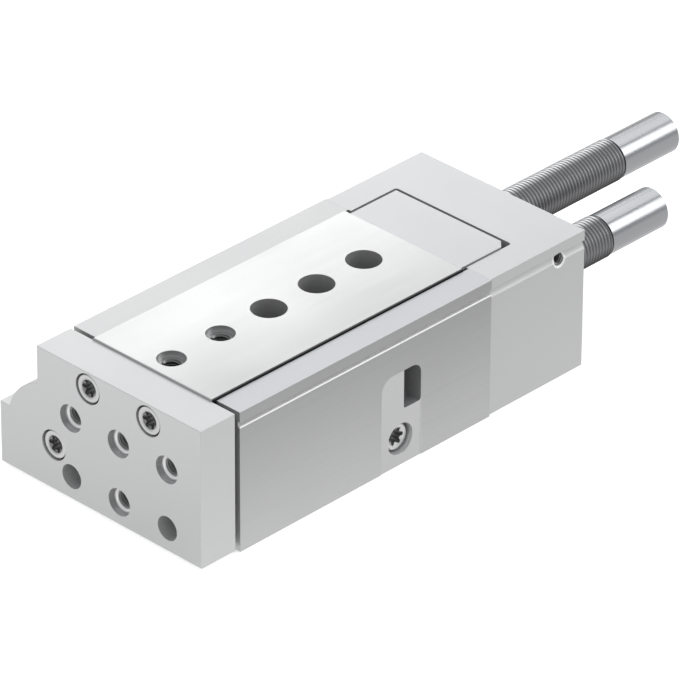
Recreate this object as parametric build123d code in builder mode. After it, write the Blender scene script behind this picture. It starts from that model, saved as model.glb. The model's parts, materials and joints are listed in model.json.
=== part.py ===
from build123d import *
from math import atan2, cos, sin, sqrt
import os

# A pneumatic slide table: a cylinder and a ball-guided slide in one aluminium housing.
# Lengths are millimetres. X runs across the slide, Y along the stroke with the yoke plate at
# the front (minus Y), and Z up from the mounting base. The origin is the middle mounting hole.

os.makedirs("parts", exist_ok=True)

# Clearances
running_clearance = 0.05    # radial, between a shaft or ball and what it runs in
seat_clearance = 0.03       # radial, between pieces seated in one another
thread_clearance = 0.05     # radial, between a screw and its thread, drawn as plain cylinders
side_clearance = 0.4        # beside a piece that travels in a pocket
floor_clearance = 0.5       # under the slide
stop_gap = 0.3              # left between two faces that meet at the end of the stroke

# Travel
stroke = 30.0
absorber_stroke = 15.0

# Housing
housing_length = 105.3
housing_half = 34.4
housing_height = 47.5
front_to_origin = 66.3
bulge_left = -50.3
bulge_shoulder_rise = 5.6   # above the cylinder's axis
bulge_radius = 19.7
strip_inner = 25.0
strip_thickness = 1.9
channel_depth = 13.2
side_groove_drop = 3.45     # below the housing's top
side_groove_width = 1.45
side_groove_depth = 0.8

# Mounting holes, which the slide's access holes line up with
mount_pitch = 20.0
mount_radius = 3.3
mount_head_depth = 8.0
centring_radius = 4.5
centring_depth = 2.1

# Cylinder
rod_x = -27.4
rod_drop = 18.0             # below the channel's floor
bore_radius = 8.0
rod_radius = 4.0
bore_wall = 2.4
port_radius = 2.1
port_depth = 8.0
port_rise = 1.0             # above the cylinder's axis
front_port_wall = 3.0       # between the rod guide and the front port
rear_port_wall = 4.0        # between the cover's front face and the rear port
air_hole_radius = 1.2
sensor_slot_radius = 2.1
sensor_slot_mouth = 2.9
sensor_slot_depth = 4.4
sensor_slot_levels = (5.2, 11.2)

# Rod guide in the front of the bore
guide_length = 20.0
guide_radius = 10.0
ring_groove_offset = 1.0
ring_thickness = 1.2
ring_groove_depth = 0.7
wiper_radius = 6.4
wiper_length = 3.0
rod_seal_radius = 6.0
rod_seal_length = 4.0
bush_radius = 5.0
bush_length = 10.0
guide_groove_width = 2.0
guide_groove_depth = 1.3
guide_groove_inset = 5.0    # its front edge ahead of the guide's rear end
ring_width = 1.4            # radial, inside the bore
ring_opening_width = 5.0
ring_opening_height = 4.0
ring_eye_x = 3.4
ring_eye_inset = 2.0        # its centre inside the bore's wall
ring_eye_radius = 1.3
ring_eye_hole = 0.6

# Piston
piston_length = 24.0
piston_spigot_radius = 3.0
piston_seal_width = 3.0
piston_seal_depth = 2.2
magnet_width = 4.0
magnet_depth = 2.8
wear_ring_width = 4.0
wear_ring_depth = 1.4
nut_flats = 10.0
nut_height = 3.2
nut_inset = 0.4             # inside the piston's rear face
nut_recess_radius = 6.1
rod_end_inset = 0.2

# Slide and its ball guide
slide_side_gap = 0.35
slide_proud = 0.8           # above the housing's top
slide_rear_inset = 2.0      # ahead of the housing's rear end
slide_flange = 2.4
slide_body_half = 21.9
guide_gap = 2.0
ball_radius = 2.5
ball_pitch = 8.4
cage_thickness = 1.2
cage_height = 8.0
cage_corner_radius = 1.6
cage_gap = 2.0              # left to the carrier block when the slide is out
cage_end = 5.6              # from a cage's end to its last ball's centre
rail_thickness = 5.1
rail_end_gap = 0.5
access_clearance = 0.6      # radial, around the head of a mounting screw
slide_edge_chamfer = 0.25

# Yoke plate
yoke_thickness = 13.8
yoke_side_inset = 0.4       # inside the housing's flat sides
yoke_wing_inset = 0.1       # inside the bulge
yoke_bottom = 1.05
yoke_rise = 0.1             # above the housing's top
yoke_gap = 1.7
yoke_edge_chamfer = 0.12
grid_pitch = 20.0
grid_low = 8.7
yoke_plain_radius = 4.0
yoke_screw_x = 12.55
yoke_screw_drop = 6.4       # below the slide's top
yoke_screw_head_depth = 5.4
rod_screw_head_depth = 5.6
dowel_x = 17.2
dowel_radius = 1.5
dowel_length = 12.0
dowel_end_gap = 1.0

# Carrier block on the rear end of the slide
carrier_left_gap = 1.6      # to the left rail
carrier_right_gap = 0.35    # to the right rail
carrier_drop = 0.3          # below the slide's top
carrier_length = 20.0
carrier_leg_inner = 6.4
carrier_leg_wall = 1.2      # under the absorber's thread
carrier_corner_chamfer = 2.4
carrier_screw_x = 11.0
carrier_screw_drop = 7.1    # below the slide's top
carrier_screw_head_depth = 6.0
strike_radius = 5.0
strike_thickness = 2.0

# Shock absorbers
absorber_x = 14.7
absorber_drop = 8.6         # below the slide's underside
absorber_thread_radius = 7.0
absorber_sleeve_radius = 6.8
absorber_sleeve_length = 25.0
absorber_chamber_radius = 4.8
absorber_sleeve_spigot = 6.0
absorber_key_radius = 3.0
absorber_key_depth = 5.0
absorber_thread_chamfer = 0.6
absorber_sleeve_chamfer = 0.5
advance_thread_length = 71.5
retract_thread_length = 88.2
advance_overhang = 0.8      # how far its front stands ahead of the carrier block
plunger_radius = 2.5
plunger_head_radius = 4.2
plunger_head_length = 4.0
plunger_head_gap = 0.4      # behind the head when it is pressed in
plunger_head_chamfer = 0.5
plunger_foot_length = 4.0
plunger_foot_gap = 1.0      # between the foot and the gland when the plunger is out
gland_length = 9.0
absorber_passage = 0.4      # radial, around the travelling absorber in the rear cover

# Rear cover
cover_length = 41.2
cover_side_inset = 0.5      # inside the housing's flat sides
cover_bottom = 0.25         # above the housing's base
recess_side_gap = 0.05      # outside the rails' inner faces
recess_rear_gap = 1.7       # behind the carrier block
recess_corner_radius = 1.0
spigot_length = 4.0
spigot_groove_width = 1.9
spigot_groove_depth = 1.45
scoop_drop = 3.5            # below the cover's top
scoop_height = 2.9
scoop_depth = 1.05
scoop_fullness = 0.8        # depth at mid-height, as a share of the depth at the upper edge
side_thread_depth = 8.0
side_thread_countersink = 2.8
side_thread_mouth_angle = 130.0
side_thread_inset = 10.9    # ahead of the cover's rear face
side_thread_drop = 5.9      # below the cover's top
cover_screw_low = 7.5
cover_screw_wall = 5.1      # from the right side to the screws' axes
cover_screw_right_drop = 7.3    # below the channel's floor
cover_screw_left_drop = 3.4     # below the channel's floor
cover_screw_left_x = -29.0
cover_screw_bulge_wall = 6.8
cover_screw_seat = 6.0
cover_screw_engagement = 9.8
screw_end_gap = 2.0         # left at the bottom of a blind thread
lock_screw_length = 10.0
lock_screw_inset = 8.2      # ahead of the cover's rear face
lock_socket_depth = 3.0

# Advance stop, clamped from the side
stop_length = 14.2
stop_bottom = 3.0
stop_gap_to_slide = 1.0
stop_screw_inset = 5.3      # behind the stop's face
stop_screw_z = 9.0
stop_screw_head = 4.5
stop_screw_sink = 1.6       # of its head below the milled face
stop_screw_shank = 14.0
stop_screw_hole = 3.3
milled_length = 16.8
milled_overrun = 3.3        # past the stop's face
milled_rise = 6.1           # above the absorber's axis
milled_depth = 0.2
milled_radius = 4.5
window_length = 7.2
window_height = 13.4
window_corner_radius = 3.8
window_lower_radius = 1.0

# Screw sizes: head radius, head height, shank radius
m4_head, m4_height, m4_shank = 3.5, 4.0, 2.0
m5_head, m5_height, m5_shank = 4.25, 5.0, 2.5
m6_head, m6_height, m6_shank = 5.0, 6.0, 3.0
table_screw_length = 16.0
carrier_screw_length = 22.0
head_chamfer = 0.08         # these eight as shares of the head's height or radius
socket_depth = 0.55
hex_radius = 0.5
lobe_core = 0.47
lobe_circle = 0.5
lobe_radius = 0.16
lobe_mouth = 0.72
lobe_mouth_depth = 0.1
head_hole_clearance = 0.75  # radial, around a sunk screw head
shank_hole_clearance = 0.25 # radial, around a shank that passes through

# Places along the stroke that follow from the sizes
housing_front = -front_to_origin
housing_rear = housing_front + housing_length
cover_rear = housing_rear + cover_length
yoke_rear = housing_front - yoke_gap
yoke_front = yoke_rear - yoke_thickness
slide_rear = housing_rear - slide_rear_inset
slide_length = slide_rear - yoke_rear
carrier_rear = slide_rear + carrier_length
recess_back = carrier_rear + recess_rear_gap
pocket_front = slide_rear - stroke - floor_clearance
advance_front = slide_rear - advance_overhang
retract_front = carrier_rear + stop_gap
stop_face = advance_front - stroke - stop_gap
stop_front = stop_face - stop_length
stop_screw_y = stop_face - stop_screw_inset
milled_rear = stop_face + milled_overrun
guide_front = housing_front + ring_groove_offset + ring_thickness
guide_rear = guide_front + guide_length
piston_rear = housing_rear - spigot_length - 2 * stop_gap
piston_front = piston_rear - piston_length
cage_rear = slide_rear - stroke / 2 - cage_gap
cage_room = cage_rear - (housing_front + rail_end_gap + stroke / 2)
ball_count = int((cage_room - 2 * cage_end) / ball_pitch) + 1

# Heights that follow
channel_floor = housing_height - channel_depth
side_groove_top = housing_height - side_groove_drop
slide_bottom = channel_floor + floor_clearance
slide_top = housing_height + slide_proud
slide_shoulder = slide_top - slide_flange
rail_top = housing_height - strip_thickness
race_z = (channel_floor + rail_top) / 2
rod_z = channel_floor - rod_drop
bulge_shoulder = rod_z + bulge_shoulder_rise
port_z = rod_z + port_rise
yoke_top = housing_height + yoke_rise
yoke_screw_z = slide_top - yoke_screw_drop
absorber_z = slide_bottom - absorber_drop
carrier_top = slide_top - carrier_drop
carrier_leg_bottom = absorber_z - absorber_thread_radius - carrier_leg_wall
carrier_screw_z = slide_top - carrier_screw_drop
scoop_top = housing_height - scoop_drop
scoop_bottom = scoop_top - scoop_height
milled_top = absorber_z + milled_rise

# Widths and places across that follow
slide_half = strip_inner - slide_side_gap
race_x = slide_body_half + guide_gap / 2
rail_inner = slide_body_half + guide_gap
rail_outer = rail_inner + rail_thickness
carrier_left = carrier_left_gap - rail_inner
carrier_right = rail_inner - carrier_right_gap
recess_half = rail_inner + recess_side_gap
pocket_inner = carrier_leg_inner - side_clearance
pocket_outer = carrier_right + side_clearance
cover_half = housing_half - cover_side_inset
yoke_half = housing_half - yoke_side_inset
yoke_wing_left = bulge_left + yoke_wing_inset
cover_screw_places = (
    (cover_half - cover_screw_wall, cover_screw_low),
    (cover_half - cover_screw_wall, channel_floor - cover_screw_right_drop),
    (cover_screw_left_x, channel_floor - cover_screw_left_drop),
    (bulge_left + cover_screw_bulge_wall, cover_screw_low),
)
milled_face = housing_half - milled_depth
stop_screw_seat = milled_face - stop_screw_sink - m6_height
rod_place = (rod_x, rod_z)
advance_place = (absorber_x, absorber_z)
retract_place = (-absorber_x, absorber_z)


def across(y):
    """Plane across the stroke at Y = y, with local x = X, local y = Z and its normal to the front."""
    return Plane(origin=(0, y, 0), x_dir=(1, 0, 0), z_dir=(0, -1, 0))


def sideways(x):
    """Plane along the stroke at X = x, with local x = Y, local y = Z and its normal to the right."""
    return Plane(origin=(x, 0, 0), x_dir=(0, 1, 0), z_dir=(1, 0, 0))


def facing_front(x, y, z):
    return Plane(origin=(x, y, z), x_dir=(1, 0, 0), z_dir=(0, -1, 0))


def facing_rear(x, y, z):
    return Plane(origin=(x, y, z), x_dir=(-1, 0, 0), z_dir=(0, 1, 0))


def body_outline(half, left, bottom, top):
    """Cross-section with a bulge on the left whose round stretch is centred on the cylinder."""
    arc_low = rod_x - sqrt(bulge_radius**2 - (bulge_shoulder - rod_z) ** 2)
    arc_high = rod_z + sqrt(bulge_radius**2 - (half + rod_x) ** 2)
    start_angle = atan2(bulge_shoulder - rod_z, arc_low - rod_x)
    end_angle = atan2(arc_high - rod_z, -half - rod_x)
    middle = (start_angle + end_angle) / 2
    arc_middle = (rod_x + bulge_radius * cos(middle), rod_z + bulge_radius * sin(middle))
    with BuildSketch() as outline:
        with BuildLine():
            Polyline(
                (arc_low, bulge_shoulder), (left, bulge_shoulder), (left, bottom), (half, bottom),
                (half, top), (-half, top), (-half, arc_high),
            )
            ThreePointArc((-half, arc_high), arc_middle, (arc_low, bulge_shoulder))
        make_face()
    return outline.sketch


def carrier_outline(growth):
    """The carrier block's straddling cross-section, or with growth the space that it travels in."""
    left = carrier_left - growth
    right = carrier_right + growth
    inner = carrier_leg_inner - growth
    bottom = carrier_leg_bottom - growth
    crotch = slide_bottom - growth
    with BuildSketch() as outline:
        with BuildLine():
            Polyline(
                (right, carrier_top), (right, bottom), (inner, bottom), (inner, crotch),
                (-inner, crotch), (-inner, bottom), (left, bottom), (left, carrier_top),
                close=True,
            )
        make_face()
        with Locations(rod_place):
            Circle(bore_radius + bore_wall + side_clearance - growth, mode=Mode.SUBTRACT)
    return outline.sketch


def cap_screw(head, height, shank, length, lobes=0):
    """Cylinder-head screw with its seat at the origin and its head up. Six lobes or a hex socket."""
    with BuildPart() as screw:
        Cylinder(head, height, align=(Align.CENTER, Align.CENTER, Align.MIN))
        chamfer(screw.edges().sort_by(Axis.Z)[-1], height * head_chamfer)
        Cylinder(shank, length, align=(Align.CENTER, Align.CENTER, Align.MAX))
        with BuildSketch(Plane.XY.offset(height)):
            if lobes:
                Circle(head * lobe_core)
                with PolarLocations(head * lobe_circle, lobes):
                    Circle(head * lobe_radius)
            else:
                RegularPolygon(head * hex_radius, 6)
        extrude(amount=-height * socket_depth, mode=Mode.SUBTRACT)
        if lobes:
            with Locations((0, 0, height)):
                Cone(
                    head * lobe_core, head * lobe_mouth, height * lobe_mouth_depth,
                    align=(Align.CENTER, Align.CENTER, Align.MAX), mode=Mode.SUBTRACT,
                )
    return screw.part


def ring(place, front, length, outer, inner):
    """A plain ring whose axis runs along the stroke."""
    with BuildPart() as piece:
        with BuildSketch(across(front)):
            with Locations(place):
                Circle(outer)
                Circle(inner, mode=Mode.SUBTRACT)
        extrude(amount=-length)
    return piece.part


def turned(place, profile):
    """A solid turned about an axis along the stroke, from (Y, radius) points."""
    axis = Axis((place[0], 0, place[1]), (0, 1, 0))
    with BuildPart() as piece:
        with BuildSketch(Plane(origin=(place[0], 0, place[1]), x_dir=(0, 1, 0), z_dir=(1, 0, 0))):
            with BuildLine():
                Polyline(*profile, close=True)
            make_face()
        revolve(axis=axis)
    return piece.part


def o_ring(place, y, groove_floor, cord_radius):
    with BuildPart() as piece:
        with Locations(facing_front(place[0], y, place[1])):
            Torus(groove_floor + cord_radius, cord_radius)
    return piece.part


# Housing: an extruded profile with the slide's channel, the rail seats and the cylinder bore
with BuildPart() as housing:
    with BuildSketch(across(housing_rear)):
        add(body_outline(housing_half, bulge_left, 0, housing_height))
        with Locations((0, channel_floor)):
            Rectangle(
                2 * strip_inner, housing_height, align=(Align.CENTER, Align.MIN), mode=Mode.SUBTRACT
            )
            Rectangle(
                2 * rail_outer, rail_top - channel_floor,
                align=(Align.CENTER, Align.MIN), mode=Mode.SUBTRACT,
            )
        with Locations((housing_half, side_groove_top), (-housing_half, side_groove_top)):
            Rectangle(
                2 * side_groove_depth, side_groove_width,
                align=(Align.CENTER, Align.MAX), mode=Mode.SUBTRACT,
            )
        with Locations(*((bulge_left, level) for level in sensor_slot_levels)):
            Rectangle(sensor_slot_depth, sensor_slot_mouth, mode=Mode.SUBTRACT)
        slot_centre = bulge_left + sensor_slot_depth - sensor_slot_radius
        with Locations(*((slot_centre, level) for level in sensor_slot_levels)):
            Circle(sensor_slot_radius, mode=Mode.SUBTRACT)
        with Locations(rod_place):
            Circle(bore_radius, mode=Mode.SUBTRACT)
    extrude(amount=housing_length)

    # Seat of the rod guide and the groove of its retaining ring
    with BuildSketch(across(housing_front)):
        with Locations(rod_place):
            Circle(guide_radius)
    extrude(amount=-(guide_rear - housing_front), mode=Mode.SUBTRACT)
    with BuildSketch(across(housing_front + ring_groove_offset)):
        with Locations(rod_place):
            Circle(guide_radius + ring_groove_depth)
    extrude(amount=-ring_thickness, mode=Mode.SUBTRACT)

    # Pockets for the carrier block's legs, and the deeper one that holds the advance stop
    with BuildSketch(across(housing_rear)):
        add(carrier_outline(side_clearance))
    extrude(amount=housing_rear - pocket_front, mode=Mode.SUBTRACT)
    with BuildSketch(Plane.XY.offset(stop_bottom)):
        with Locations(((pocket_inner + pocket_outer) / 2, (stop_front + pocket_front) / 2)):
            Rectangle(pocket_outer - pocket_inner, pocket_front - stop_front)
    extrude(amount=channel_floor, mode=Mode.SUBTRACT)

    # Mounting holes, with centring seats in the base at the two outer ones
    with Locations(Plane.XY.offset(channel_floor)):
        with GridLocations(0, mount_pitch, 1, 3):
            CounterBoreHole(mount_radius, m6_head + shank_hole_clearance, mount_head_depth)
    with BuildSketch(Plane.XY):
        with GridLocations(0, 2 * mount_pitch, 1, 2):
            Circle(centring_radius)
    extrude(amount=centring_depth, mode=Mode.SUBTRACT)

    # Milled recess on the right side, its window onto the stop, and the clamping screw's hole
    with BuildSketch(sideways(housing_half)) as milled:
        with Locations((milled_rear, 0)):
            Rectangle(milled_length, milled_top, align=(Align.MAX, Align.MIN))
        fillet(milled.vertices().group_by(Axis.Y)[-1].sort_by(Axis.X)[0], milled_radius)
        fillet(milled.vertices().group_by(Axis.Y)[-1].sort_by(Axis.X)[-1], window_corner_radius)
    extrude(amount=-milled_depth, mode=Mode.SUBTRACT)
    with BuildSketch(sideways(housing_half)) as window:
        with Locations((milled_rear, milled_top)):
            Rectangle(window_length, window_height, align=(Align.MAX, Align.MAX))
        fillet(window.vertices().group_by(Axis.Y)[0], window_lower_radius)
        fillet(window.vertices().group_by(Axis.Y)[-1].sort_by(Axis.X)[-1], window_corner_radius)
    extrude(amount=-(housing_half - pocket_outer), mode=Mode.SUBTRACT)
    with Locations(
        Plane(
            origin=(milled_face, stop_screw_y, stop_screw_z),
            x_dir=(0, 1, 0), z_dir=(1, 0, 0),
        )
    ):
        CounterBoreHole(
            stop_screw_hole, stop_screw_head + head_hole_clearance, milled_face - stop_screw_seat,
            depth=milled_face - pocket_outer,
        )

    # Air port of the front chamber, and threads for the rear cover's screws
    front_port_y = guide_rear + port_radius + front_port_wall
    with BuildSketch(sideways(bulge_left)):
        with Locations((front_port_y, port_z)):
            Circle(port_radius)
    extrude(amount=port_depth, mode=Mode.SUBTRACT)
    with BuildSketch(sideways(bulge_left)):
        with Locations((front_port_y, port_z)):
            Circle(air_hole_radius)
    extrude(amount=rod_x - bulge_left, mode=Mode.SUBTRACT)
    with BuildSketch(across(housing_rear)):
        with Locations(*cover_screw_places):
            Circle(m4_shank + thread_clearance)
    extrude(amount=cover_screw_engagement + screw_end_gap, mode=Mode.SUBTRACT)
housing.part.label = "housing"
export_step(housing.part, "parts/housing.step")

# Rear cover: the same outline, with the space behind the slide and the holes of both absorbers
with BuildPart() as rear_cover:
    with BuildSketch(across(cover_rear)):
        add(body_outline(cover_half, bulge_left, cover_bottom, housing_height))
        for side in (-1, 1):
            with BuildLine():
                Polyline(
                    (side * cover_half, scoop_bottom),
                    (side * (cover_half + scoop_depth), scoop_bottom),
                    (side * (cover_half + scoop_depth), scoop_top),
                    (side * (cover_half - scoop_depth), scoop_top),
                )
                ThreePointArc(
                    (side * (cover_half - scoop_depth), scoop_top),
                    (side * (cover_half - scoop_fullness * scoop_depth), scoop_top - scoop_height / 2),
                    (side * cover_half, scoop_bottom),
                )
            make_face(mode=Mode.SUBTRACT)
        with Locations(*((bulge_left, level) for level in sensor_slot_levels)):
            Rectangle(sensor_slot_depth, sensor_slot_mouth, mode=Mode.SUBTRACT)
        with Locations(*((slot_centre, level) for level in sensor_slot_levels)):
            Circle(sensor_slot_radius, mode=Mode.SUBTRACT)
    extrude(amount=cover_length)
    with BuildSketch(across(housing_rear)):
        with Locations(rod_place):
            Circle(bore_radius - seat_clearance)
    extrude(amount=spigot_length)
    groove_front = housing_rear - (spigot_length + spigot_groove_width) / 2
    with BuildSketch(across(groove_front)):
        with Locations(rod_place):
            Circle(bore_radius)
            Circle(bore_radius - spigot_groove_depth, mode=Mode.SUBTRACT)
    extrude(amount=-spigot_groove_width, mode=Mode.SUBTRACT)

    # Space that the carrier block rests in
    with BuildSketch(across(housing_rear)):
        add(carrier_outline(side_clearance))
        with Locations((0, slide_bottom - side_clearance)):
            Rectangle(2 * recess_half, housing_height, align=(Align.CENTER, Align.MIN))
    extrude(amount=-(recess_back - housing_rear), mode=Mode.SUBTRACT)
    inner_corners = rear_cover.edges().filter_by(Axis.Z).filter_by_position(
        Axis.Y, recess_back - 0.01, recess_back + 0.01
    )
    fillet(inner_corners.sort_by(Axis.X)[0], recess_corner_radius)
    fillet(
        rear_cover.edges().filter_by(Axis.Z)
        .filter_by_position(Axis.Y, recess_back - 0.01, recess_back + 0.01).sort_by(Axis.X)[-1],
        recess_corner_radius,
    )

    # Holes: absorbers, screws, the retract absorber's lock screw, the rear air port, a side thread
    with BuildSketch(across(carrier_rear)):
        with Locations(advance_place):
            Circle(absorber_thread_radius + absorber_passage)
        with Locations(retract_place):
            Circle(absorber_thread_radius + thread_clearance)
    extrude(amount=-cover_length, mode=Mode.SUBTRACT)
    with Locations(*(facing_rear(x, cover_rear, z) for x, z in cover_screw_places)):
        CounterBoreHole(
            m4_shank + shank_hole_clearance, m4_head + shank_hole_clearance, cover_screw_seat,
            depth=cover_length,
        )
    with BuildSketch(Plane.XY):
        with Locations((-absorber_x, cover_rear - lock_screw_inset)):
            Circle(m4_shank + thread_clearance)
    extrude(amount=absorber_z - absorber_thread_radius, mode=Mode.SUBTRACT)
    rear_port_y = housing_rear + port_radius + rear_port_wall
    with BuildSketch(sideways(bulge_left)):
        with Locations((rear_port_y, port_z)):
            Circle(port_radius)
    extrude(amount=port_depth, mode=Mode.SUBTRACT)
    with BuildSketch(sideways(bulge_left)):
        with Locations((rear_port_y, port_z)):
            Circle(air_hole_radius)
    extrude(amount=rod_x - bulge_left, mode=Mode.SUBTRACT)
    with BuildSketch(across(housing_rear - spigot_length)):
        with Locations((rod_x, port_z)):
            Circle(air_hole_radius)
    extrude(amount=-(rear_port_y - housing_rear + spigot_length), mode=Mode.SUBTRACT)
    with Locations(
        Plane(
            origin=(cover_half, cover_rear - side_thread_inset, housing_height - side_thread_drop),
            x_dir=(0, 1, 0), z_dir=(1, 0, 0),
        )
    ):
        CounterSinkHole(
            m4_shank + thread_clearance, side_thread_countersink, depth=side_thread_depth,
            counter_sink_angle=side_thread_mouth_angle,
        )
rear_cover.part.label = "rear_cover"
export_step(rear_cover.part, "parts/rear_cover.step")

cover_screw_length = cover_length - cover_screw_seat + cover_screw_engagement
cover_screw = cap_screw(m4_head, m4_height, m4_shank, cover_screw_length)
with BuildPart() as cover_screws:
    with Locations(*(facing_rear(x, cover_rear - cover_screw_seat, z) for x, z in cover_screw_places)):
        add(cover_screw)
cover_screws.part.label = "cover_screws"
export_step(cover_screws.part, "parts/cover_screws.step")

cover_o_ring = o_ring(
    rod_place, housing_rear - spigot_length / 2,
    bore_radius - spigot_groove_depth, spigot_groove_depth / 2,
)
cover_o_ring.label = "cover_o_ring"
export_step(cover_o_ring, "parts/cover_o_ring.step")

with BuildPart() as lock_screw:
    with BuildSketch(Plane.XY.offset(absorber_z - absorber_thread_radius)):
        with Locations((-absorber_x, cover_rear - lock_screw_inset)):
            Circle(m4_shank)
    extrude(amount=-lock_screw_length)
    with BuildSketch(Plane.XY.offset(absorber_z - absorber_thread_radius - lock_screw_length)):
        with Locations((-absorber_x, cover_rear - lock_screw_inset)):
            RegularPolygon(m4_shank / 2, 6)
    extrude(amount=lock_socket_depth, mode=Mode.SUBTRACT)
lock_screw.part.label = "retract_lock_screw"
export_step(lock_screw.part, "parts/retract_lock_screw.step")

# Guide rails, cages and balls: one of each on either side of the slide
ball_rear = cage_rear - cage_end
for side, name in ((-1, "left"), (1, "right")):
    with BuildPart() as rail:
        with BuildSketch(across(housing_rear - rail_end_gap)):
            with Locations((side * (rail_inner + rail_outer) / 2, race_z)):
                Rectangle(rail_thickness, rail_top - channel_floor)
            with Locations((side * race_x, race_z)):
                Circle(ball_radius + running_clearance, mode=Mode.SUBTRACT)
        extrude(amount=housing_length - 2 * rail_end_gap)
    rail.part.label = f"{name}_rail"
    export_step(rail.part, f"parts/{name}_rail.step")

    ball_row = [
        (side * race_x, ball_rear - step * ball_pitch, race_z) for step in range(ball_count)
    ]
    cage_length = 2 * cage_end + ball_pitch * (ball_count - 1)
    with BuildPart() as cage:
        with BuildSketch(sideways(side * race_x - cage_thickness / 2)):
            with Locations((cage_rear - cage_length / 2, race_z)):
                RectangleRounded(cage_length, cage_height, cage_corner_radius)
            with Locations(*((y, z) for x, y, z in ball_row)):
                Circle(ball_radius + running_clearance, mode=Mode.SUBTRACT)
        extrude(amount=cage_thickness)
    cage.part.label = f"{name}_cage"
    export_step(cage.part, f"parts/{name}_cage.step")

    with BuildPart() as balls:
        with Locations(*ball_row):
            Sphere(ball_radius)
    balls.part.label = f"{name}_balls"
    export_step(balls.part, f"parts/{name}_balls.step")

# Slide: ground steel, wide at the top and grooved for the balls below
access_places = [(0, step * mount_pitch) for step in (-1, 0, 1)]
thread_places = [(0, step * mount_pitch) for step in (-3, -2)]
with BuildPart() as slide_table:
    with BuildSketch(across(slide_rear)):
        with Locations((0, slide_bottom)):
            Rectangle(2 * slide_body_half, slide_top - slide_bottom, align=(Align.CENTER, Align.MIN))
        with Locations((0, slide_shoulder)):
            Rectangle(2 * slide_half, slide_flange, align=(Align.CENTER, Align.MIN))
        with Locations((-race_x, race_z), (race_x, race_z)):
            Circle(ball_radius + running_clearance, mode=Mode.SUBTRACT)
    extrude(amount=slide_length)
    chamfer(slide_table.faces().sort_by(Axis.Z)[-1].edges(), slide_edge_chamfer)
    with Locations(Plane.XY.offset(slide_top)):
        with Locations(*access_places):
            Hole(m6_head + access_clearance)
        with Locations(*thread_places):
            CounterBoreHole(m6_shank + thread_clearance, centring_radius, centring_depth)
    table_thread_depth = table_screw_length - yoke_thickness + yoke_screw_head_depth + screw_end_gap
    with Locations(*(facing_front(x, yoke_rear, yoke_screw_z) for x in (-yoke_screw_x, yoke_screw_x))):
        Hole(m5_shank + thread_clearance, depth=table_thread_depth)
    with Locations(*(facing_front(x, yoke_rear, yoke_screw_z) for x in (-dowel_x, dowel_x))):
        Hole(dowel_radius + seat_clearance, depth=(dowel_length + dowel_end_gap) / 2)
    carrier_grip = carrier_length - carrier_screw_head_depth
    carrier_thread_depth = carrier_screw_length - carrier_grip + screw_end_gap
    carrier_screw_places = [(-carrier_screw_x, carrier_screw_z), (carrier_screw_x, carrier_screw_z)]
    with Locations(*(facing_rear(x, slide_rear, z) for x, z in carrier_screw_places)):
        Hole(m5_shank + thread_clearance, depth=carrier_thread_depth)
slide_table.part.label = "slide_table"
export_step(slide_table.part, "parts/slide_table.step")

# Yoke plate across the front, which joins the slide and the piston rod
grid_high = grid_low + grid_pitch
yoke_thread_places = [(-grid_pitch, grid_high), (0, grid_high), (grid_pitch, grid_high), (0, grid_low)]
yoke_plain_places = [(-grid_pitch, grid_low), (grid_pitch, grid_low)]
yoke_screw_places = [(-yoke_screw_x, yoke_screw_z), (yoke_screw_x, yoke_screw_z)]
with BuildPart() as yoke_plate:
    with BuildSketch(across(yoke_rear)):
        add(body_outline(yoke_half, yoke_wing_left, yoke_bottom, yoke_top))
    extrude(amount=yoke_thickness)
    chamfer(yoke_plate.faces().sort_by(Axis.Y)[0].edges(), yoke_edge_chamfer)
    with Locations(*(facing_front(x, yoke_front, z) for x, z in yoke_thread_places)):
        CounterBoreHole(m6_shank + thread_clearance, centring_radius, centring_depth)
    with Locations(*(facing_front(x, yoke_front, z) for x, z in yoke_plain_places)):
        Hole(yoke_plain_radius)
    with Locations(*(facing_front(x, yoke_front, z) for x, z in yoke_screw_places)):
        CounterBoreHole(
            m5_shank + shank_hole_clearance, m5_head + head_hole_clearance, yoke_screw_head_depth
        )
    with Locations(facing_front(rod_x, yoke_front, rod_z)):
        CounterBoreHole(
            m5_shank + shank_hole_clearance, m5_head + head_hole_clearance, rod_screw_head_depth
        )
    with Locations(*(facing_rear(x, yoke_rear, yoke_screw_z) for x in (-dowel_x, dowel_x))):
        Hole(dowel_radius + seat_clearance, depth=(dowel_length + dowel_end_gap) / 2)
yoke_plate.part.label = "yoke_plate"
export_step(yoke_plate.part, "parts/yoke_plate.step")

table_screw = cap_screw(m5_head, m5_height, m5_shank, table_screw_length, lobes=6)
with BuildPart() as yoke_screws:
    with Locations(
        *(facing_front(x, yoke_front + yoke_screw_head_depth, z) for x, z in yoke_screw_places)
    ):
        add(table_screw)
yoke_screws.part.label = "yoke_screws"
export_step(yoke_screws.part, "parts/yoke_screws.step")

with BuildPart() as rod_screw:
    with Locations(facing_front(rod_x, yoke_front + rod_screw_head_depth, rod_z)):
        add(table_screw)
rod_screw.part.label = "rod_screw"
export_step(rod_screw.part, "parts/rod_screw.step")

with BuildPart() as yoke_dowels:
    with BuildSketch(across(yoke_rear + dowel_length / 2)):
        with Locations((-dowel_x, yoke_screw_z), (dowel_x, yoke_screw_z)):
            Circle(dowel_radius)
    extrude(amount=dowel_length)
yoke_dowels.part.label = "yoke_dowels"
export_step(yoke_dowels.part, "parts/yoke_dowels.step")

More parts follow.
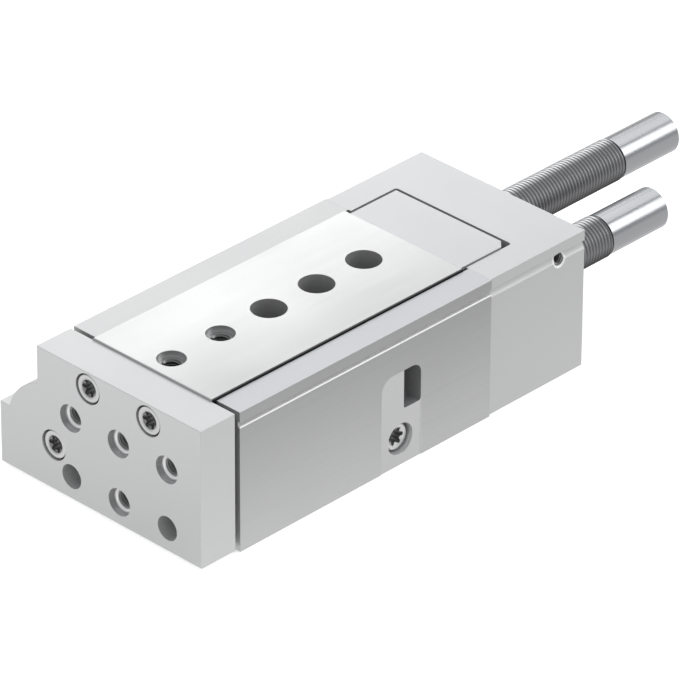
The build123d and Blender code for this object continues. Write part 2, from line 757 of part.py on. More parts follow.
# Carrier block behind the slide: it straddles the mounting web and holds the advance absorber
with BuildPart() as carrier_block:
    with BuildSketch(across(carrier_rear)):
        add(carrier_outline(0))
    extrude(amount=carrier_length)
    rear_corner = carrier_block.edges().filter_by(Axis.Z).group_by(Axis.Y)[-1].sort_by(Axis.X)[-1]
    chamfer(rear_corner, carrier_corner_chamfer)
    with Locations(facing_rear(absorber_x, carrier_rear, absorber_z)):
        Hole(absorber_thread_radius + thread_clearance)
    with Locations(facing_rear(-absorber_x, carrier_rear, absorber_z)):
        Hole(strike_radius + seat_clearance, depth=strike_thickness)
    with Locations(*(facing_rear(x, carrier_rear, z) for x, z in carrier_screw_places)):
        CounterBoreHole(
            m5_shank + shank_hole_clearance, m5_head + shank_hole_clearance, carrier_screw_head_depth
        )
carrier_block.part.label = "carrier_block"
export_step(carrier_block.part, "parts/carrier_block.step")

carrier_screw = cap_screw(m5_head, m5_height, m5_shank, carrier_screw_length)
with BuildPart() as carrier_screws:
    with Locations(
        *(facing_rear(x, carrier_rear - carrier_screw_head_depth, z) for x, z in carrier_screw_places)
    ):
        add(carrier_screw)
carrier_screws.part.label = "carrier_screws"
export_step(carrier_screws.part, "parts/carrier_screws.step")

with BuildPart() as strike_pad:
    with BuildSketch(across(carrier_rear)):
        with Locations(retract_place):
            Circle(strike_radius)
    extrude(amount=strike_thickness)
strike_pad.part.label = "strike_pad"
export_step(strike_pad.part, "parts/strike_pad.step")

# Piston rod: a spigot at the rear takes the piston, a thread at the front takes the yoke's screw
rod_thread_depth = table_screw_length - yoke_thickness + rod_screw_head_depth + screw_end_gap
nut_seat = piston_rear - nut_height - nut_inset
with BuildPart() as piston_rod:
    add(
        turned(
            rod_place,
            [
                (yoke_rear, 0), (yoke_rear, rod_radius), (piston_front, rod_radius),
                (piston_front, piston_spigot_radius),
                (piston_rear - rod_end_inset, piston_spigot_radius), (piston_rear - rod_end_inset, 0),
            ],
        )
    )
    with Locations(facing_front(rod_x, yoke_rear, rod_z)):
        Hole(m5_shank + thread_clearance, depth=rod_thread_depth)
piston_rod.part.label = "piston_rod"
export_step(piston_rod.part, "parts/piston_rod.step")

# Piston with its grooves from the front: seal, magnet, wear ring, seal
groove_gap = (nut_seat - piston_front - 2 * piston_seal_width - magnet_width - wear_ring_width) / 5
front_seal_y = piston_front + groove_gap
magnet_y = front_seal_y + piston_seal_width + groove_gap
wear_ring_y = magnet_y + magnet_width + groove_gap
rear_seal_y = wear_ring_y + wear_ring_width + groove_gap
piston_radius = bore_radius - 2 * running_clearance
piston_grooves = (
    (front_seal_y, piston_seal_width, piston_seal_depth),
    (magnet_y, magnet_width, magnet_depth),
    (wear_ring_y, wear_ring_width, wear_ring_depth),
    (rear_seal_y, piston_seal_width, piston_seal_depth),
)
with BuildPart() as piston:
    with BuildSketch(across(piston_rear)):
        with Locations(rod_place):
            Circle(piston_radius)
    extrude(amount=piston_length)
    for groove_y, groove_width, groove_depth in piston_grooves:
        with BuildSketch(across(groove_y)):
            with Locations(rod_place):
                Circle(piston_radius + groove_depth)
                Circle(piston_radius - groove_depth, mode=Mode.SUBTRACT)
        extrude(amount=-groove_width, mode=Mode.SUBTRACT)
    with Locations(facing_rear(rod_x, piston_rear, rod_z)):
        CounterBoreHole(
            piston_spigot_radius + seat_clearance, nut_recess_radius, piston_rear - nut_seat
        )
piston.part.label = "piston"
export_step(piston.part, "parts/piston.step")

seal_outer = bore_radius - running_clearance
with BuildPart() as piston_seals:
    for seal_y in (front_seal_y, rear_seal_y):
        with BuildSketch(across(seal_y)):
            with Locations(rod_place):
                Circle(seal_outer)
                Circle(piston_radius - piston_seal_depth, mode=Mode.SUBTRACT)
        extrude(amount=-piston_seal_width)
piston_seals.part.label = "piston_seals"
export_step(piston_seals.part, "parts/piston_seals.step")

piston_magnet = ring(rod_place, magnet_y, magnet_width, piston_radius, piston_radius - magnet_depth)
piston_magnet.label = "piston_magnet"
export_step(piston_magnet, "parts/piston_magnet.step")

wear_ring = ring(
    rod_place, wear_ring_y, wear_ring_width, seal_outer, piston_radius - wear_ring_depth
)
wear_ring.label = "piston_wear_ring"
export_step(wear_ring, "parts/piston_wear_ring.step")

with BuildPart() as piston_nut:
    with BuildSketch(across(nut_seat + nut_height)):
        with Locations(rod_place):
            RegularPolygon(nut_flats / 2, 6, major_radius=False)
            Circle(piston_spigot_radius + seat_clearance, mode=Mode.SUBTRACT)
    extrude(amount=nut_height)
piston_nut.part.label = "piston_nut"
export_step(piston_nut.part, "parts/piston_nut.step")

# Rod guide cartridge with wiper, seal and bush, held in the bore by a retaining ring
guide_outer = guide_radius - seat_clearance
guide_groove_y = guide_rear - guide_groove_inset
seal_y = guide_front + wiper_length
bush_y = seal_y + rod_seal_length
rod_passage = rod_radius + 3 * running_clearance
rod_guide = turned(
    rod_place,
    [
        (guide_front, wiper_radius), (guide_front, guide_outer), (guide_groove_y, guide_outer),
        (guide_groove_y, guide_outer - guide_groove_depth),
        (guide_groove_y + guide_groove_width, guide_outer - guide_groove_depth),
        (guide_groove_y + guide_groove_width, guide_outer), (guide_rear, guide_outer),
        (guide_rear, rod_passage), (bush_y + bush_length, rod_passage),
        (bush_y + bush_length, bush_radius), (bush_y, bush_radius), (bush_y, rod_seal_radius),
        (seal_y, rod_seal_radius), (seal_y, wiper_radius),
    ],
)
rod_guide.label = "rod_guide"
export_step(rod_guide, "parts/rod_guide.step")

rod_clear = rod_radius + running_clearance
wiper = ring(rod_place, guide_front, wiper_length, wiper_radius, rod_clear)
wiper.label = "rod_wiper"
export_step(wiper, "parts/rod_wiper.step")

rod_seal = ring(rod_place, seal_y, rod_seal_length, rod_seal_radius, rod_clear)
rod_seal.label = "rod_seal"
export_step(rod_seal, "parts/rod_seal.step")

rod_bush = ring(rod_place, bush_y, bush_length, bush_radius, rod_clear)
rod_bush.label = "rod_bush"
export_step(rod_bush, "parts/rod_bush.step")

guide_o_ring = o_ring(
    rod_place, guide_groove_y + guide_groove_width / 2,
    guide_outer - guide_groove_depth, (guide_groove_depth + seat_clearance) / 2,
)
guide_o_ring.label = "guide_o_ring"
export_step(guide_o_ring, "parts/guide_o_ring.step")

# Retaining ring: sprung open at the bottom, with an eye at each end
with BuildPart() as retaining_ring:
    with BuildSketch(across(guide_front)):
        with Locations(rod_place):
            Circle(guide_radius + ring_groove_depth - seat_clearance)
            Circle(guide_radius - ring_width, mode=Mode.SUBTRACT)
        with Locations((rod_x, rod_z - guide_radius)):
            Rectangle(ring_opening_width, ring_opening_height, mode=Mode.SUBTRACT)
        eye_z = rod_z - guide_radius + ring_eye_inset
        with Locations((rod_x - ring_eye_x, eye_z), (rod_x + ring_eye_x, eye_z)):
            Circle(ring_eye_radius)
            Circle(ring_eye_hole, mode=Mode.SUBTRACT)
    extrude(amount=ring_thickness)
retaining_ring.part.label = "retaining_ring"
export_step(retaining_ring.part, "parts/retaining_ring.step")

# Advance stop: a steel block in the floor pocket, clamped from the right side
block_top = slide_bottom - stop_gap_to_slide
with BuildPart() as stop_block:
    with BuildSketch(Plane.XY.offset(stop_bottom)):
        with Locations((pocket_outer, stop_front)):
            Rectangle(
                pocket_outer - pocket_inner - stop_gap, stop_length, align=(Align.MAX, Align.MIN)
            )
    extrude(amount=block_top - stop_bottom)
    chamfer(stop_block.faces().sort_by(Axis.Z)[-1].edges(), stop_gap)
    with Locations(
        Plane(
            origin=(pocket_outer, stop_screw_y, stop_screw_z), x_dir=(0, 1, 0), z_dir=(1, 0, 0)
        )
    ):
        Hole(m6_shank + thread_clearance, depth=stop_screw_shank)
stop_block.part.label = "stop_block"
export_step(stop_block.part, "parts/stop_block.step")

stop_screw_part = cap_screw(stop_screw_head, m6_height, m6_shank, stop_screw_shank, lobes=6)
with BuildPart() as stop_clamp_screw:
    with Locations(
        Plane(
            origin=(stop_screw_seat, stop_screw_y, stop_screw_z),
            x_dir=(0, 1, 0), z_dir=(1, 0, 0),
        )
    ):
        add(stop_screw_part)
stop_clamp_screw.part.label = "stop_clamp_screw"
export_step(stop_clamp_screw.part, "parts/stop_clamp_screw.step")

# Shock absorbers: a threaded tube, a bright rear sleeve, a front gland and a plunger
head_recess = plunger_head_length + plunger_head_gap
absorbers = (
    ("advance", advance_place, advance_front, advance_thread_length, absorber_stroke),
    ("retract", retract_place, retract_front, retract_thread_length, 0),
)
for name, place, front, thread_length, extension in absorbers:
    thread_end = front + thread_length
    with BuildPart() as tube:
        with BuildSketch(across(front)):
            with Locations(place):
                Circle(absorber_thread_radius)
        extrude(amount=-thread_length)
        chamfer(tube.edges().filter_by(GeomType.CIRCLE), absorber_thread_chamfer)
        with BuildSketch(across(front)):
            with Locations(place):
                Circle(absorber_chamber_radius)
        extrude(amount=-thread_length, mode=Mode.SUBTRACT)
    tube.part.label = f"{name}_absorber_tube"
    export_step(tube.part, f"parts/{name}_absorber_tube.step")

    with BuildPart() as sleeve:
        with BuildSketch(across(thread_end)):
            with Locations(place):
                Circle(absorber_sleeve_radius)
        extrude(amount=-absorber_sleeve_length)
        chamfer(sleeve.edges().sort_by(Axis.Y)[-1], absorber_sleeve_chamfer)
        with BuildSketch(across(thread_end)):
            with Locations(place):
                Circle(absorber_chamber_radius - seat_clearance)
        extrude(amount=absorber_sleeve_spigot)
        with BuildSketch(across(thread_end + absorber_sleeve_length)):
            with Locations(place):
                RegularPolygon(absorber_key_radius, 6)
        extrude(amount=absorber_key_depth, mode=Mode.SUBTRACT)
    sleeve.part.label = f"{name}_absorber_sleeve"
    export_step(sleeve.part, f"parts/{name}_absorber_sleeve.step")

    gland = ring(
        place, front + head_recess, gland_length,
        absorber_chamber_radius - seat_clearance, plunger_radius + running_clearance,
    )
    gland.label = f"{name}_absorber_gland"
    export_step(gland, f"parts/{name}_absorber_gland.step")

    tip = front - extension
    rod_rear = front + head_recess + gland_length + absorber_stroke - extension + plunger_foot_gap
    plunger = turned(
        place,
        [
            (tip, 0), (tip, plunger_head_radius - plunger_head_chamfer),
            (tip + plunger_head_chamfer, plunger_head_radius),
            (tip + plunger_head_length, plunger_head_radius),
            (tip + plunger_head_length, plunger_radius), (rod_rear, plunger_radius),
            (rod_rear, absorber_chamber_radius - running_clearance),
            (rod_rear + plunger_foot_length, absorber_chamber_radius - running_clearance),
            (rod_rear + plunger_foot_length, 0),
        ],
    )
    plunger.label = f"{name}_plunger"
    export_step(plunger, f"parts/{name}_plunger.step")
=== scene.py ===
import json
from math import ceil, cos, hypot, pi, radians, sin, tau

import bmesh
import bpy
from bpy.props import FloatProperty, FloatVectorProperty, IntProperty, PointerProperty
from bpy.types import Operator, Panel, PropertyGroup
from mathutils import Matrix, Vector


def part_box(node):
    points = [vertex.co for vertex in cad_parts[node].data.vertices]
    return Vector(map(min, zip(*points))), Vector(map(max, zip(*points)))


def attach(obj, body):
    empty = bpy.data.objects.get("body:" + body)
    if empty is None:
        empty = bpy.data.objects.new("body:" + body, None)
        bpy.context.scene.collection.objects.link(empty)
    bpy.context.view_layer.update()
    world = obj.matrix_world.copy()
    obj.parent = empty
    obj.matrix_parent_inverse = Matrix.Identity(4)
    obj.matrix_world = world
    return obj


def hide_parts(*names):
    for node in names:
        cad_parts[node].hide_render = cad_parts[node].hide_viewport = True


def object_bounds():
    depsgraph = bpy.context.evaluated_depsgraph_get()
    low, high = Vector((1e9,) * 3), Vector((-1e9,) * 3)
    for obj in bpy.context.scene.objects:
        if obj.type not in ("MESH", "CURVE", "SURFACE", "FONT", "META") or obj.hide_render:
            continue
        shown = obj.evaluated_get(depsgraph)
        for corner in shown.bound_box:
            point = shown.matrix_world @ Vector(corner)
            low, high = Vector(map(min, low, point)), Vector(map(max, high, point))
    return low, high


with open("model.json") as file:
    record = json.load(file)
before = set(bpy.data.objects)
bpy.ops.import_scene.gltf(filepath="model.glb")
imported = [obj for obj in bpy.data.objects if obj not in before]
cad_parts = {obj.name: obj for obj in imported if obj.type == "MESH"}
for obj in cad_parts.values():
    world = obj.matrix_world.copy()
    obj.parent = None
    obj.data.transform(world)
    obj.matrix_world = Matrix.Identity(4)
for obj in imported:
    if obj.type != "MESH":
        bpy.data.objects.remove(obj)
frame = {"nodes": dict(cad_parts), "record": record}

bl_info = {
    "name": "Pneumatic Slide Table",
    "version": (1, 0, 0),
    "blender": (4, 5, 0),
    "location": "3D View > Sidebar > Slide Table",
    "description": "Dresses the pneumatic slide table: threads, metal finishes, studio and camera",
    "category": "Object",
}

CAD_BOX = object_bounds()


def millimetres(value):
    """Millimetres in metres, Blender's unit."""
    return value * 0.001


# Sizes and colours


class SlideTableSizes(PropertyGroup):
    """Sizes of the details that are added to the slide table."""

    tube_pitch: FloatProperty(
        name="Absorber Thread Pitch", description="Pitch of the thread along the absorber tubes",
        default=millimetres(1.35), min=millimetres(0.4), precision=4, unit="LENGTH",
    )
    tube_depth: FloatProperty(
        name="Absorber Thread Depth", description="Crest to root of the absorber tubes' thread",
        default=millimetres(0.32), min=millimetres(0.1), precision=4, unit="LENGTH",
    )
    tube_chamfer: FloatProperty(
        name="Absorber Tube Chamfer", description="Chamfer at each end of the absorber tubes",
        default=millimetres(0.65), min=0, precision=4, unit="LENGTH",
    )
    tapped_pitch: FloatProperty(
        name="Tapped Hole Pitch", description="Pitch of the M6 threads in the yoke plate and slide",
        default=millimetres(1.0), min=millimetres(0.4), precision=4, unit="LENGTH",
    )
    tapped_core: FloatProperty(
        name="Tapped Hole Core", description="Core radius of the M6 threads",
        default=millimetres(2.5), min=millimetres(0.5), precision=4, unit="LENGTH",
    )
    small_pitch: FloatProperty(
        name="Side Thread Pitch", description="Pitch of the M4 thread in the rear cover's side",
        default=millimetres(0.7), min=millimetres(0.3), precision=4, unit="LENGTH",
    )
    small_core: FloatProperty(
        name="Side Thread Core", description="Core radius of the M4 thread",
        default=millimetres(1.6), min=millimetres(0.4), precision=4, unit="LENGTH",
    )
    thread_sides: IntProperty(
        name="Thread Sides", description="Faces round each thread", default=64, min=24,
    )


class SlideTableColours(PropertyGroup):
    """Colours of the slide table's finishes."""

    # Painted light: the left strip is set lighter and warmer than the others, as if nearer the lamp.
    housing_top_left: FloatVectorProperty(
        name="Left Housing Strip", description="Ground strip on the housing's top, on the left",
        subtype="COLOR", default=(0.58, 0.58, 0.58), min=0, max=1,
    )
    housing_top: FloatVectorProperty(
        name="Housing Strips", description="Ground strips on the housing's top",
        subtype="COLOR", default=(0.52, 0.525, 0.54), min=0, max=1,
    )
    # Partly painted shade: the drawn sides are set darker than the strips on top, as less light falls on
    # them.
    housing_side: FloatVectorProperty(
        name="Housing Sides", description="Drawn aluminium of the housing's sides",
        subtype="COLOR", default=(0.42, 0.42, 0.42), min=0, max=1,
    )
    milled: FloatVectorProperty(
        name="Milled Recess", description="Smooth milled recess on the right side",
        subtype="COLOR", default=(0.57, 0.57, 0.57), min=0, max=1,
    )
    # Painted light: the cover's top is set lighter than its sides, as light falls on it from above.
    cover_top: FloatVectorProperty(
        name="Cover Top", description="Blasted top of the rear cover and carrier block",
        subtype="COLOR", default=(0.60, 0.60, 0.605), min=0, max=1,
    )
    cover_side: FloatVectorProperty(
        name="Cover Sides", description="Blasted sides of the rear cover",
        subtype="COLOR", default=(0.52, 0.52, 0.52), min=0, max=1,
    )
    yoke: FloatVectorProperty(
        name="Yoke Plate", description="Blasted aluminium of the yoke plate",
        subtype="COLOR", default=(0.66, 0.66, 0.66), min=0, max=1,
    )
    slide_top: FloatVectorProperty(
        name="Slide Top", description="Ground top of the steel slide",
        subtype="COLOR", default=(0.56, 0.56, 0.56), min=0, max=1,
    )
    slide_hole: FloatVectorProperty(
        name="Slide Holes", description="Walls of the holes through the steel slide",
        subtype="COLOR", default=(0.46, 0.46, 0.46), min=0, max=1,
    )
    # Painted shade: near-black outer sides of the slide, where the gap beside the housing's strips lies in
    # shade.
    slide_side_shade: FloatVectorProperty(
        name="Slide Sides", description="Milled sides of the steel slide",
        subtype="COLOR", default=(0.03, 0.03, 0.03), min=0, max=1,
    )
    thread: FloatVectorProperty(
        name="Absorber Thread", description="Crests of the absorber tubes' thread",
        subtype="COLOR", default=(0.25, 0.25, 0.255), min=0, max=1,
    )
    # Painted highlight: the near-white colour of the thread's top, where light falls on it.
    thread_top_highlight: FloatVectorProperty(
        name="Absorber Thread Top", description="Brighter top of the absorber tubes' thread",
        subtype="COLOR", default=(0.95, 0.95, 0.96), min=0, max=1,
    )
    # Painted shade: the darker tone of the thread's roots.
    thread_root: FloatVectorProperty(
        name="Absorber Thread Root", description="Roots of the absorber tubes' thread",
        subtype="COLOR", default=(0.15, 0.15, 0.155), min=0, max=1,
    )
    chrome: FloatVectorProperty(
        name="Chrome", description="Polished sleeves and rods",
        subtype="COLOR", default=(0.335, 0.34, 0.35), min=0, max=1,
    )
    # Painted shade: the dark tone deep in the screws' sockets.
    socket: FloatVectorProperty(
        name="Screw Sockets", description="Dark steel inside the screws' sockets",
        subtype="COLOR", default=(0.40, 0.40, 0.40), min=0, max=1,
    )
    screw: FloatVectorProperty(
        name="Screws", description="Bright screw steel",
        subtype="COLOR", default=(0.62, 0.62, 0.62), min=0, max=1,
    )


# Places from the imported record


# Mount patterns of the yoke plate's threads, each with the key of its spacing and its direction
YOKE_THREADS = (
    ("yoke_threads_wide", "spacing_x_mm", Vector((1, 0, 0))),
    ("yoke_threads_centre", "spacing_y_mm", Vector((0, 0, 1))),
)
SLIDE_THREADS = ("slide_threads", "spacing_y_mm", Vector((0, 1, 0)))


def measure_mount(name):
    """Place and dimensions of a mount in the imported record."""
    mount = next(m for m in frame["record"]["mounts"] if m["name"] == name)
    return Vector(mount["pos_m"]), mount["dims"]


def hole_pair(pattern, key, direction):
    """Centres of the two holes of a mount pattern, and their radius."""
    place, dims = measure_mount(pattern)
    half = direction * millimetres(dims[key]) / 2
    return (place - half, place + half), millimetres(dims["hole_r_mm"])


def yoke_thread_places():
    """Centres of the four threads in the yoke plate."""
    return [spot for pattern in YOKE_THREADS for spot in hole_pair(*pattern)[0]]


# Nodes


def feed(tree, socket, value):
    """Links an output to the socket, or sets the socket's constant value."""
    if isinstance(value, bpy.types.NodeSocket):
        tree.links.new(value, socket)
    else:
        socket.default_value = value


def add_node(tree, kind, links=(), **settings):
    """A node with settings and links, given as (input name or number, output socket or value)."""
    node = tree.nodes.new(kind)
    for key, value in settings.items():
        setattr(node, key, value)
    for key, value in links:
        feed(tree, node.inputs[key], value)
    return node


def coordinates(tree, output):
    """Object coordinates, the normal or another output of a Texture Coordinate node."""
    return add_node(tree, "ShaderNodeTexCoord").outputs[output]


def axis_of(tree, output, axis):
    """One axis of those coordinates."""
    return add_node(tree, "ShaderNodeSeparateXYZ", [(0, coordinates(tree, output))]).outputs[axis]


def calculate(tree, operation, *values):
    """The output of a Math node."""
    return add_node(tree, "ShaderNodeMath", list(enumerate(values)), operation=operation).outputs[0]


def combine(tree, operation, first, second):
    """The output of a Vector Math node: a number for a distance or a dot product, else a vector."""
    node = add_node(tree, "ShaderNodeVectorMath", [(0, first), (1, second)], operation=operation)
    return node.outputs["Value" if operation in ("DISTANCE", "DOT_PRODUCT") else "Vector"]


def ramp(tree, value, low, high, start=0.0, end=1.0):
    """Value taken from low..high to start..end, held at both ends."""
    return add_node(tree, "ShaderNodeMapRange", [
        ("Value", value), ("From Min", low), ("From Max", high), ("To Min", start), ("To Max", end),
    ]).outputs[0]


def all_of(tree, first, *others):
    """The product of masks, which is 1 where each of them is."""
    for mask in others:
        first = calculate(tree, "MULTIPLY", first, mask)
    return first


def blend(tree, share, first, second):
    """First colour at share 0 and second at share 1. Numbers tell the node's colour sockets apart."""
    return add_node(tree, "ShaderNodeMix", [
        ("Factor", share), (6, first), (7, second),
    ], data_type="RGBA").outputs[2]


def scaled(tree, colour, share):
    """The colour made brighter or darker by a share."""
    node = add_node(tree, "ShaderNodeVectorMath", [(0, colour), ("Scale", share)], operation="SCALE")
    return node.outputs["Vector"]


def noise(tree, place, scale, detail, roughness=0.5):
    """The value of a Noise Texture node."""
    return add_node(tree, "ShaderNodeTexNoise", [
        ("Vector", place), ("Scale", scale), ("Detail", detail), ("Roughness", roughness),
    ]).outputs[0]


def distance_from(tree, spot, plane):
    """Distance from spot in a plane, which is (1, 0, 1) round Y and (0, 1, 1) round X."""
    flat = combine(tree, "MULTIPLY", coordinates(tree, "Object"), plane)
    return combine(tree, "DISTANCE", flat, spot * Vector(plane))


# Where a face starts to count as looking along an axis, and where it does fully
FACE_TURN = (0.7, 0.9)


def facing(tree, axis, turn=FACE_TURN):
    """A mask of the faces that look along the axis, either way."""
    return ramp(tree, calculate(tree, "ABSOLUTE", axis_of(tree, "Normal", axis)), *turn)


# Colours


def opaque(colour):
    """The colour with full alpha."""
    return (*colour[:3], 1)


def grey(tone):
    """A neutral colour with full alpha."""
    return (tone, tone, tone, 1)


def bright(colour, share):
    """The colour taken a share of the way to white."""
    return tuple(min(1, c + (1 - c) * share) for c in colour[:3])


# Node groups shared by the finishes


SURFACE_OUTPUTS = [
    ("Color", "NodeSocketColor"), ("Roughness", "NodeSocketFloat"), ("Height", "NodeSocketFloat"),
]


def new_group(name, inputs, outputs):
    """An empty shader node group with its named sockets. Returns the group and its two end nodes."""
    group = bpy.data.node_groups.new(name, "ShaderNodeTree")
    for label, kind, default in inputs:
        socket = group.interface.new_socket(name=label, in_out="INPUT", socket_type=kind)
        socket.default_value = default
    for label, kind in outputs:
        group.interface.new_socket(name=label, in_out="OUTPUT", socket_type=kind)
    return group, group.nodes.new("NodeGroupInput"), group.nodes.new("NodeGroupOutput")


def surface_outputs(group, given, out, pattern, drift, spread):
    """Leads a pattern and its slow drift to the group's colour, roughness and height."""
    swing = calculate(group, "SUBTRACT", calculate(group, "ADD", pattern, drift), 1.0)
    share = calculate(group, "MULTIPLY_ADD", swing, given.outputs["Variation"], 1.0)
    rough = calculate(group, "MULTIPLY_ADD", swing, spread, given.outputs["Roughness"])
    group.links.new(scaled(group, given.outputs["Color"], share), out.inputs["Color"])
    group.links.new(rough, out.inputs["Roughness"])
    group.links.new(pattern, out.inputs["Height"])


def grain_group():
    """Fine blasted grain with a slow drift in tone."""
    group, given, out = new_group(
        "Blasted Grain",
        [
            ("Color", "NodeSocketColor", (0.7, 0.7, 0.7, 1)),
            ("Grain Scale", "NodeSocketFloat", 2200.0),
            ("Variation", "NodeSocketFloat", 0.05),
            ("Roughness", "NodeSocketFloat", 0.5),
        ],
        SURFACE_OUTPUTS,
    )
    place = coordinates(group, "Object")
    fine = noise(group, place, given.outputs["Grain Scale"], 3.0, 0.7)
    surface_outputs(group, given, out, fine, noise(group, place, 45.0, 2.0), 0.12)
    return group


def lines_group():
    """Fine straight lines along Y, from drawing, brushing or grinding."""
    group, given, out = new_group(
        "Long Lines",
        [
            ("Color", "NodeSocketColor", (0.7, 0.7, 0.7, 1)),
            ("Across", "NodeSocketFloat", 1600.0),
            ("Along", "NodeSocketFloat", 14.0),
            ("Variation", "NodeSocketFloat", 0.08),
            ("Roughness", "NodeSocketFloat", 0.35),
        ],
        SURFACE_OUTPUTS,
    )
    place = coordinates(group, "Object")
    stretch = add_node(group, "ShaderNodeCombineXYZ", [
        ("X", given.outputs["Across"]), ("Y", given.outputs["Along"]), ("Z", given.outputs["Across"]),
    ]).outputs[0]
    lines = noise(group, combine(group, "MULTIPLY", place, stretch), 1.0, 4.0, 0.65)
    surface_outputs(group, given, out, lines, noise(group, place, 22.0, 1.0), 0.18)
    return group


def edge_group():
    """Softened edges painted brighter: partly metal worn bare, partly a painted highlight along the
    rounding.
    """
    group, given, out = new_group(
        "Bright Edges",
        [
            ("Color", "NodeSocketColor", (0.7, 0.7, 0.7, 1)),
            ("Edge Color", "NodeSocketColor", (0.9, 0.9, 0.9, 1)),
            ("Width", "NodeSocketFloat", 0.0002),
            ("Amount", "NodeSocketFloat", 0.6),
        ],
        [("Color", "NodeSocketColor"), ("Normal", "NodeSocketVector")],
    )
    soft = add_node(group, "ShaderNodeBevel", [("Radius", given.outputs["Width"])], samples=4).outputs[0]
    face = add_node(group, "ShaderNodeNewGeometry").outputs["Normal"]
    turn = ramp(group, combine(group, "DOT_PRODUCT", soft, face), 0.995, 0.80)
    share = calculate(group, "MULTIPLY", turn, given.outputs["Amount"])
    mix = blend(group, share, given.outputs["Color"], given.outputs["Edge Color"])
    group.links.new(mix, out.inputs["Color"])
    group.links.new(soft, out.inputs["Normal"])
    return group


def faces_group():
    """Separate tones for the faces that look up and for all the others, with a mask of the first."""
    group, given, out = new_group(
        "Top And Sides",
        [
            ("Top Color", "NodeSocketColor", (0.7, 0.7, 0.7, 1)),
            ("Side Color", "NodeSocketColor", (0.5, 0.5, 0.5, 1)),
        ],
        [("Color", "NodeSocketColor"), ("Top Mask", "NodeSocketFloat")],
    )
    mask = ramp(group, axis_of(group, "Normal", "Z"), *FACE_TURN)
    mix = blend(group, mask, given.outputs["Side Color"], given.outputs["Top Color"])
    group.links.new(mix, out.inputs["Color"])
    group.links.new(mask, out.inputs["Top Mask"])
    return group


def falloff_group():
    """Painted light: a colour that gains or loses a little from left to right and from low to high."""
    group, given, out = new_group(
        "Painted Light Falloff",
        [
            ("Color", "NodeSocketColor", (0.7, 0.7, 0.7, 1)),
            ("Left Gain", "NodeSocketFloat", 1.0),
            ("Right Gain", "NodeSocketFloat", 1.0),
            ("Low Gain", "NodeSocketFloat", 1.0),
            ("High Gain", "NodeSocketFloat", 1.0),
        ],
        [("Color", "NodeSocketColor")],
    )
    low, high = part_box("rear_cover")
    across, height = axis_of(group, "Object", "X"), axis_of(group, "Object", "Z")
    gains = given.outputs
    gain = calculate(
        group, "MULTIPLY", ramp(group, across, low.x, high.x, gains["Left Gain"], gains["Right Gain"]),
        ramp(group, height, low.z, high.z, gains["Low Gain"], gains["High Gain"]),
    )
    group.links.new(scaled(group, gains["Color"], gain), out.inputs["Color"])
    return group


GRAIN = ("Blasted Grain", grain_group)
LINES = ("Long Lines", lines_group)
EDGES = ("Bright Edges", edge_group)
FACES = ("Top And Sides", faces_group)
FALLOFF = ("Painted Light Falloff", falloff_group)


def place_group(tree, group, **values):
    """The outputs of a shared group in a material's tree. The group itself is made only once."""
    name, make = group
    node = tree.nodes.new("ShaderNodeGroup")
    node.node_tree = bpy.data.node_groups.get(name) or make()
    for label, value in values.items():
        feed(tree, node.inputs[label.replace("_", " ").title()], value)
    return node.outputs


# Finishes


EDGE_WIDTH = millimetres(0.2)
BUMP_DEPTH = millimetres(0.02)
BUMP_STRENGTH = 0.35


def new_finish(name, **sockets):
    """A material with its Principled BSDF. Constant values go on the shader's own sockets."""
    material = bpy.data.materials.new(name)
    material.use_nodes = True
    tree = material.node_tree
    shader = next(n for n in tree.nodes if n.type == "BSDF_PRINCIPLED")
    for label, value in sockets.items():
        shader.inputs[label.replace("_", " ").title()].default_value = value
    return material, tree, shader


def painted_light_tone(tree, colour, left=1.0, right=1.0, low=1.0, high=1.0):
    """The colour with a slow falloff of painted light across the part."""
    return place_group(
        tree, FALLOFF, color=opaque(colour), left_gain=left, right_gain=right, low_gain=low, high_gain=high,
    )["Color"]


def coat(tree, shader, tone, edge, amount, pattern, width=EDGE_WIDTH, depth=BUMP_DEPTH, **values):
    """Leads a tone through bright edges and a fine pattern with its bump to the shader."""
    edges = place_group(tree, EDGES, color=tone, edge_color=opaque(edge), width=width, amount=amount)
    surface = place_group(tree, pattern, color=edges["Color"], **values)
    bump = add_node(tree, "ShaderNodeBump", [
        ("Strength", BUMP_STRENGTH), ("Distance", depth), ("Height", surface["Height"]),
        ("Normal", edges["Normal"]),
    ]).outputs[0]
    tree.links.new(surface["Color"], shader.inputs["Base Color"])
    tree.links.new(surface["Roughness"], shader.inputs["Roughness"])
    tree.links.new(bump, shader.inputs["Normal"])


def blasted(name, colour, roughness, variation=0.05, amount=0.5, width=EDGE_WIDTH, metallic=1.0):
    """A grained surface with softened bright edges."""
    material, tree, shader = new_finish(name, metallic=metallic)
    coat(
        tree, shader, opaque(colour), bright(colour, 0.45), amount, GRAIN, width,
        grain_scale=2200.0, variation=variation, roughness=roughness,
    )
    return material


def lined(name, colour, roughness, variation=0.08):
    """Metal with fine lines along Y and softened bright edges."""
    material, tree, shader = new_finish(name, metallic=1.0)
    coat(
        tree, shader, opaque(colour), bright(colour, 0.45), 0.5, LINES,
        across=1600.0, along=14.0, variation=variation, roughness=roughness,
    )
    return material


def body_finish(name, top, side, front, seats=None):
    """Blasted aluminium. Top, side and front are each a colour and its gains, as painted_light_tone takes them.

    seats(tree, tones) gives the holes in the sides and front their own tones.
    """
    material, tree, shader = new_finish(name, metallic=0.55)
    tones = blend(tree, facing(tree, "Y"), painted_light_tone(tree, *side), painted_light_tone(tree, *front))
    if seats:
        tones = seats(tree, tones)
    # Painted light: the tops take their own tone apart from the sides and fronts.
    faces = place_group(tree, FACES, top_color=painted_light_tone(tree, *top), side_color=tones)
    # Painted highlight: the edges are brightened nearly to white.
    coat(
        tree, shader, faces["Color"], bright(top[0], 0.9), 0.9, GRAIN, millimetres(0.1),
        grain_scale=2200.0, variation=0.05, roughness=0.5,
    )
    return material


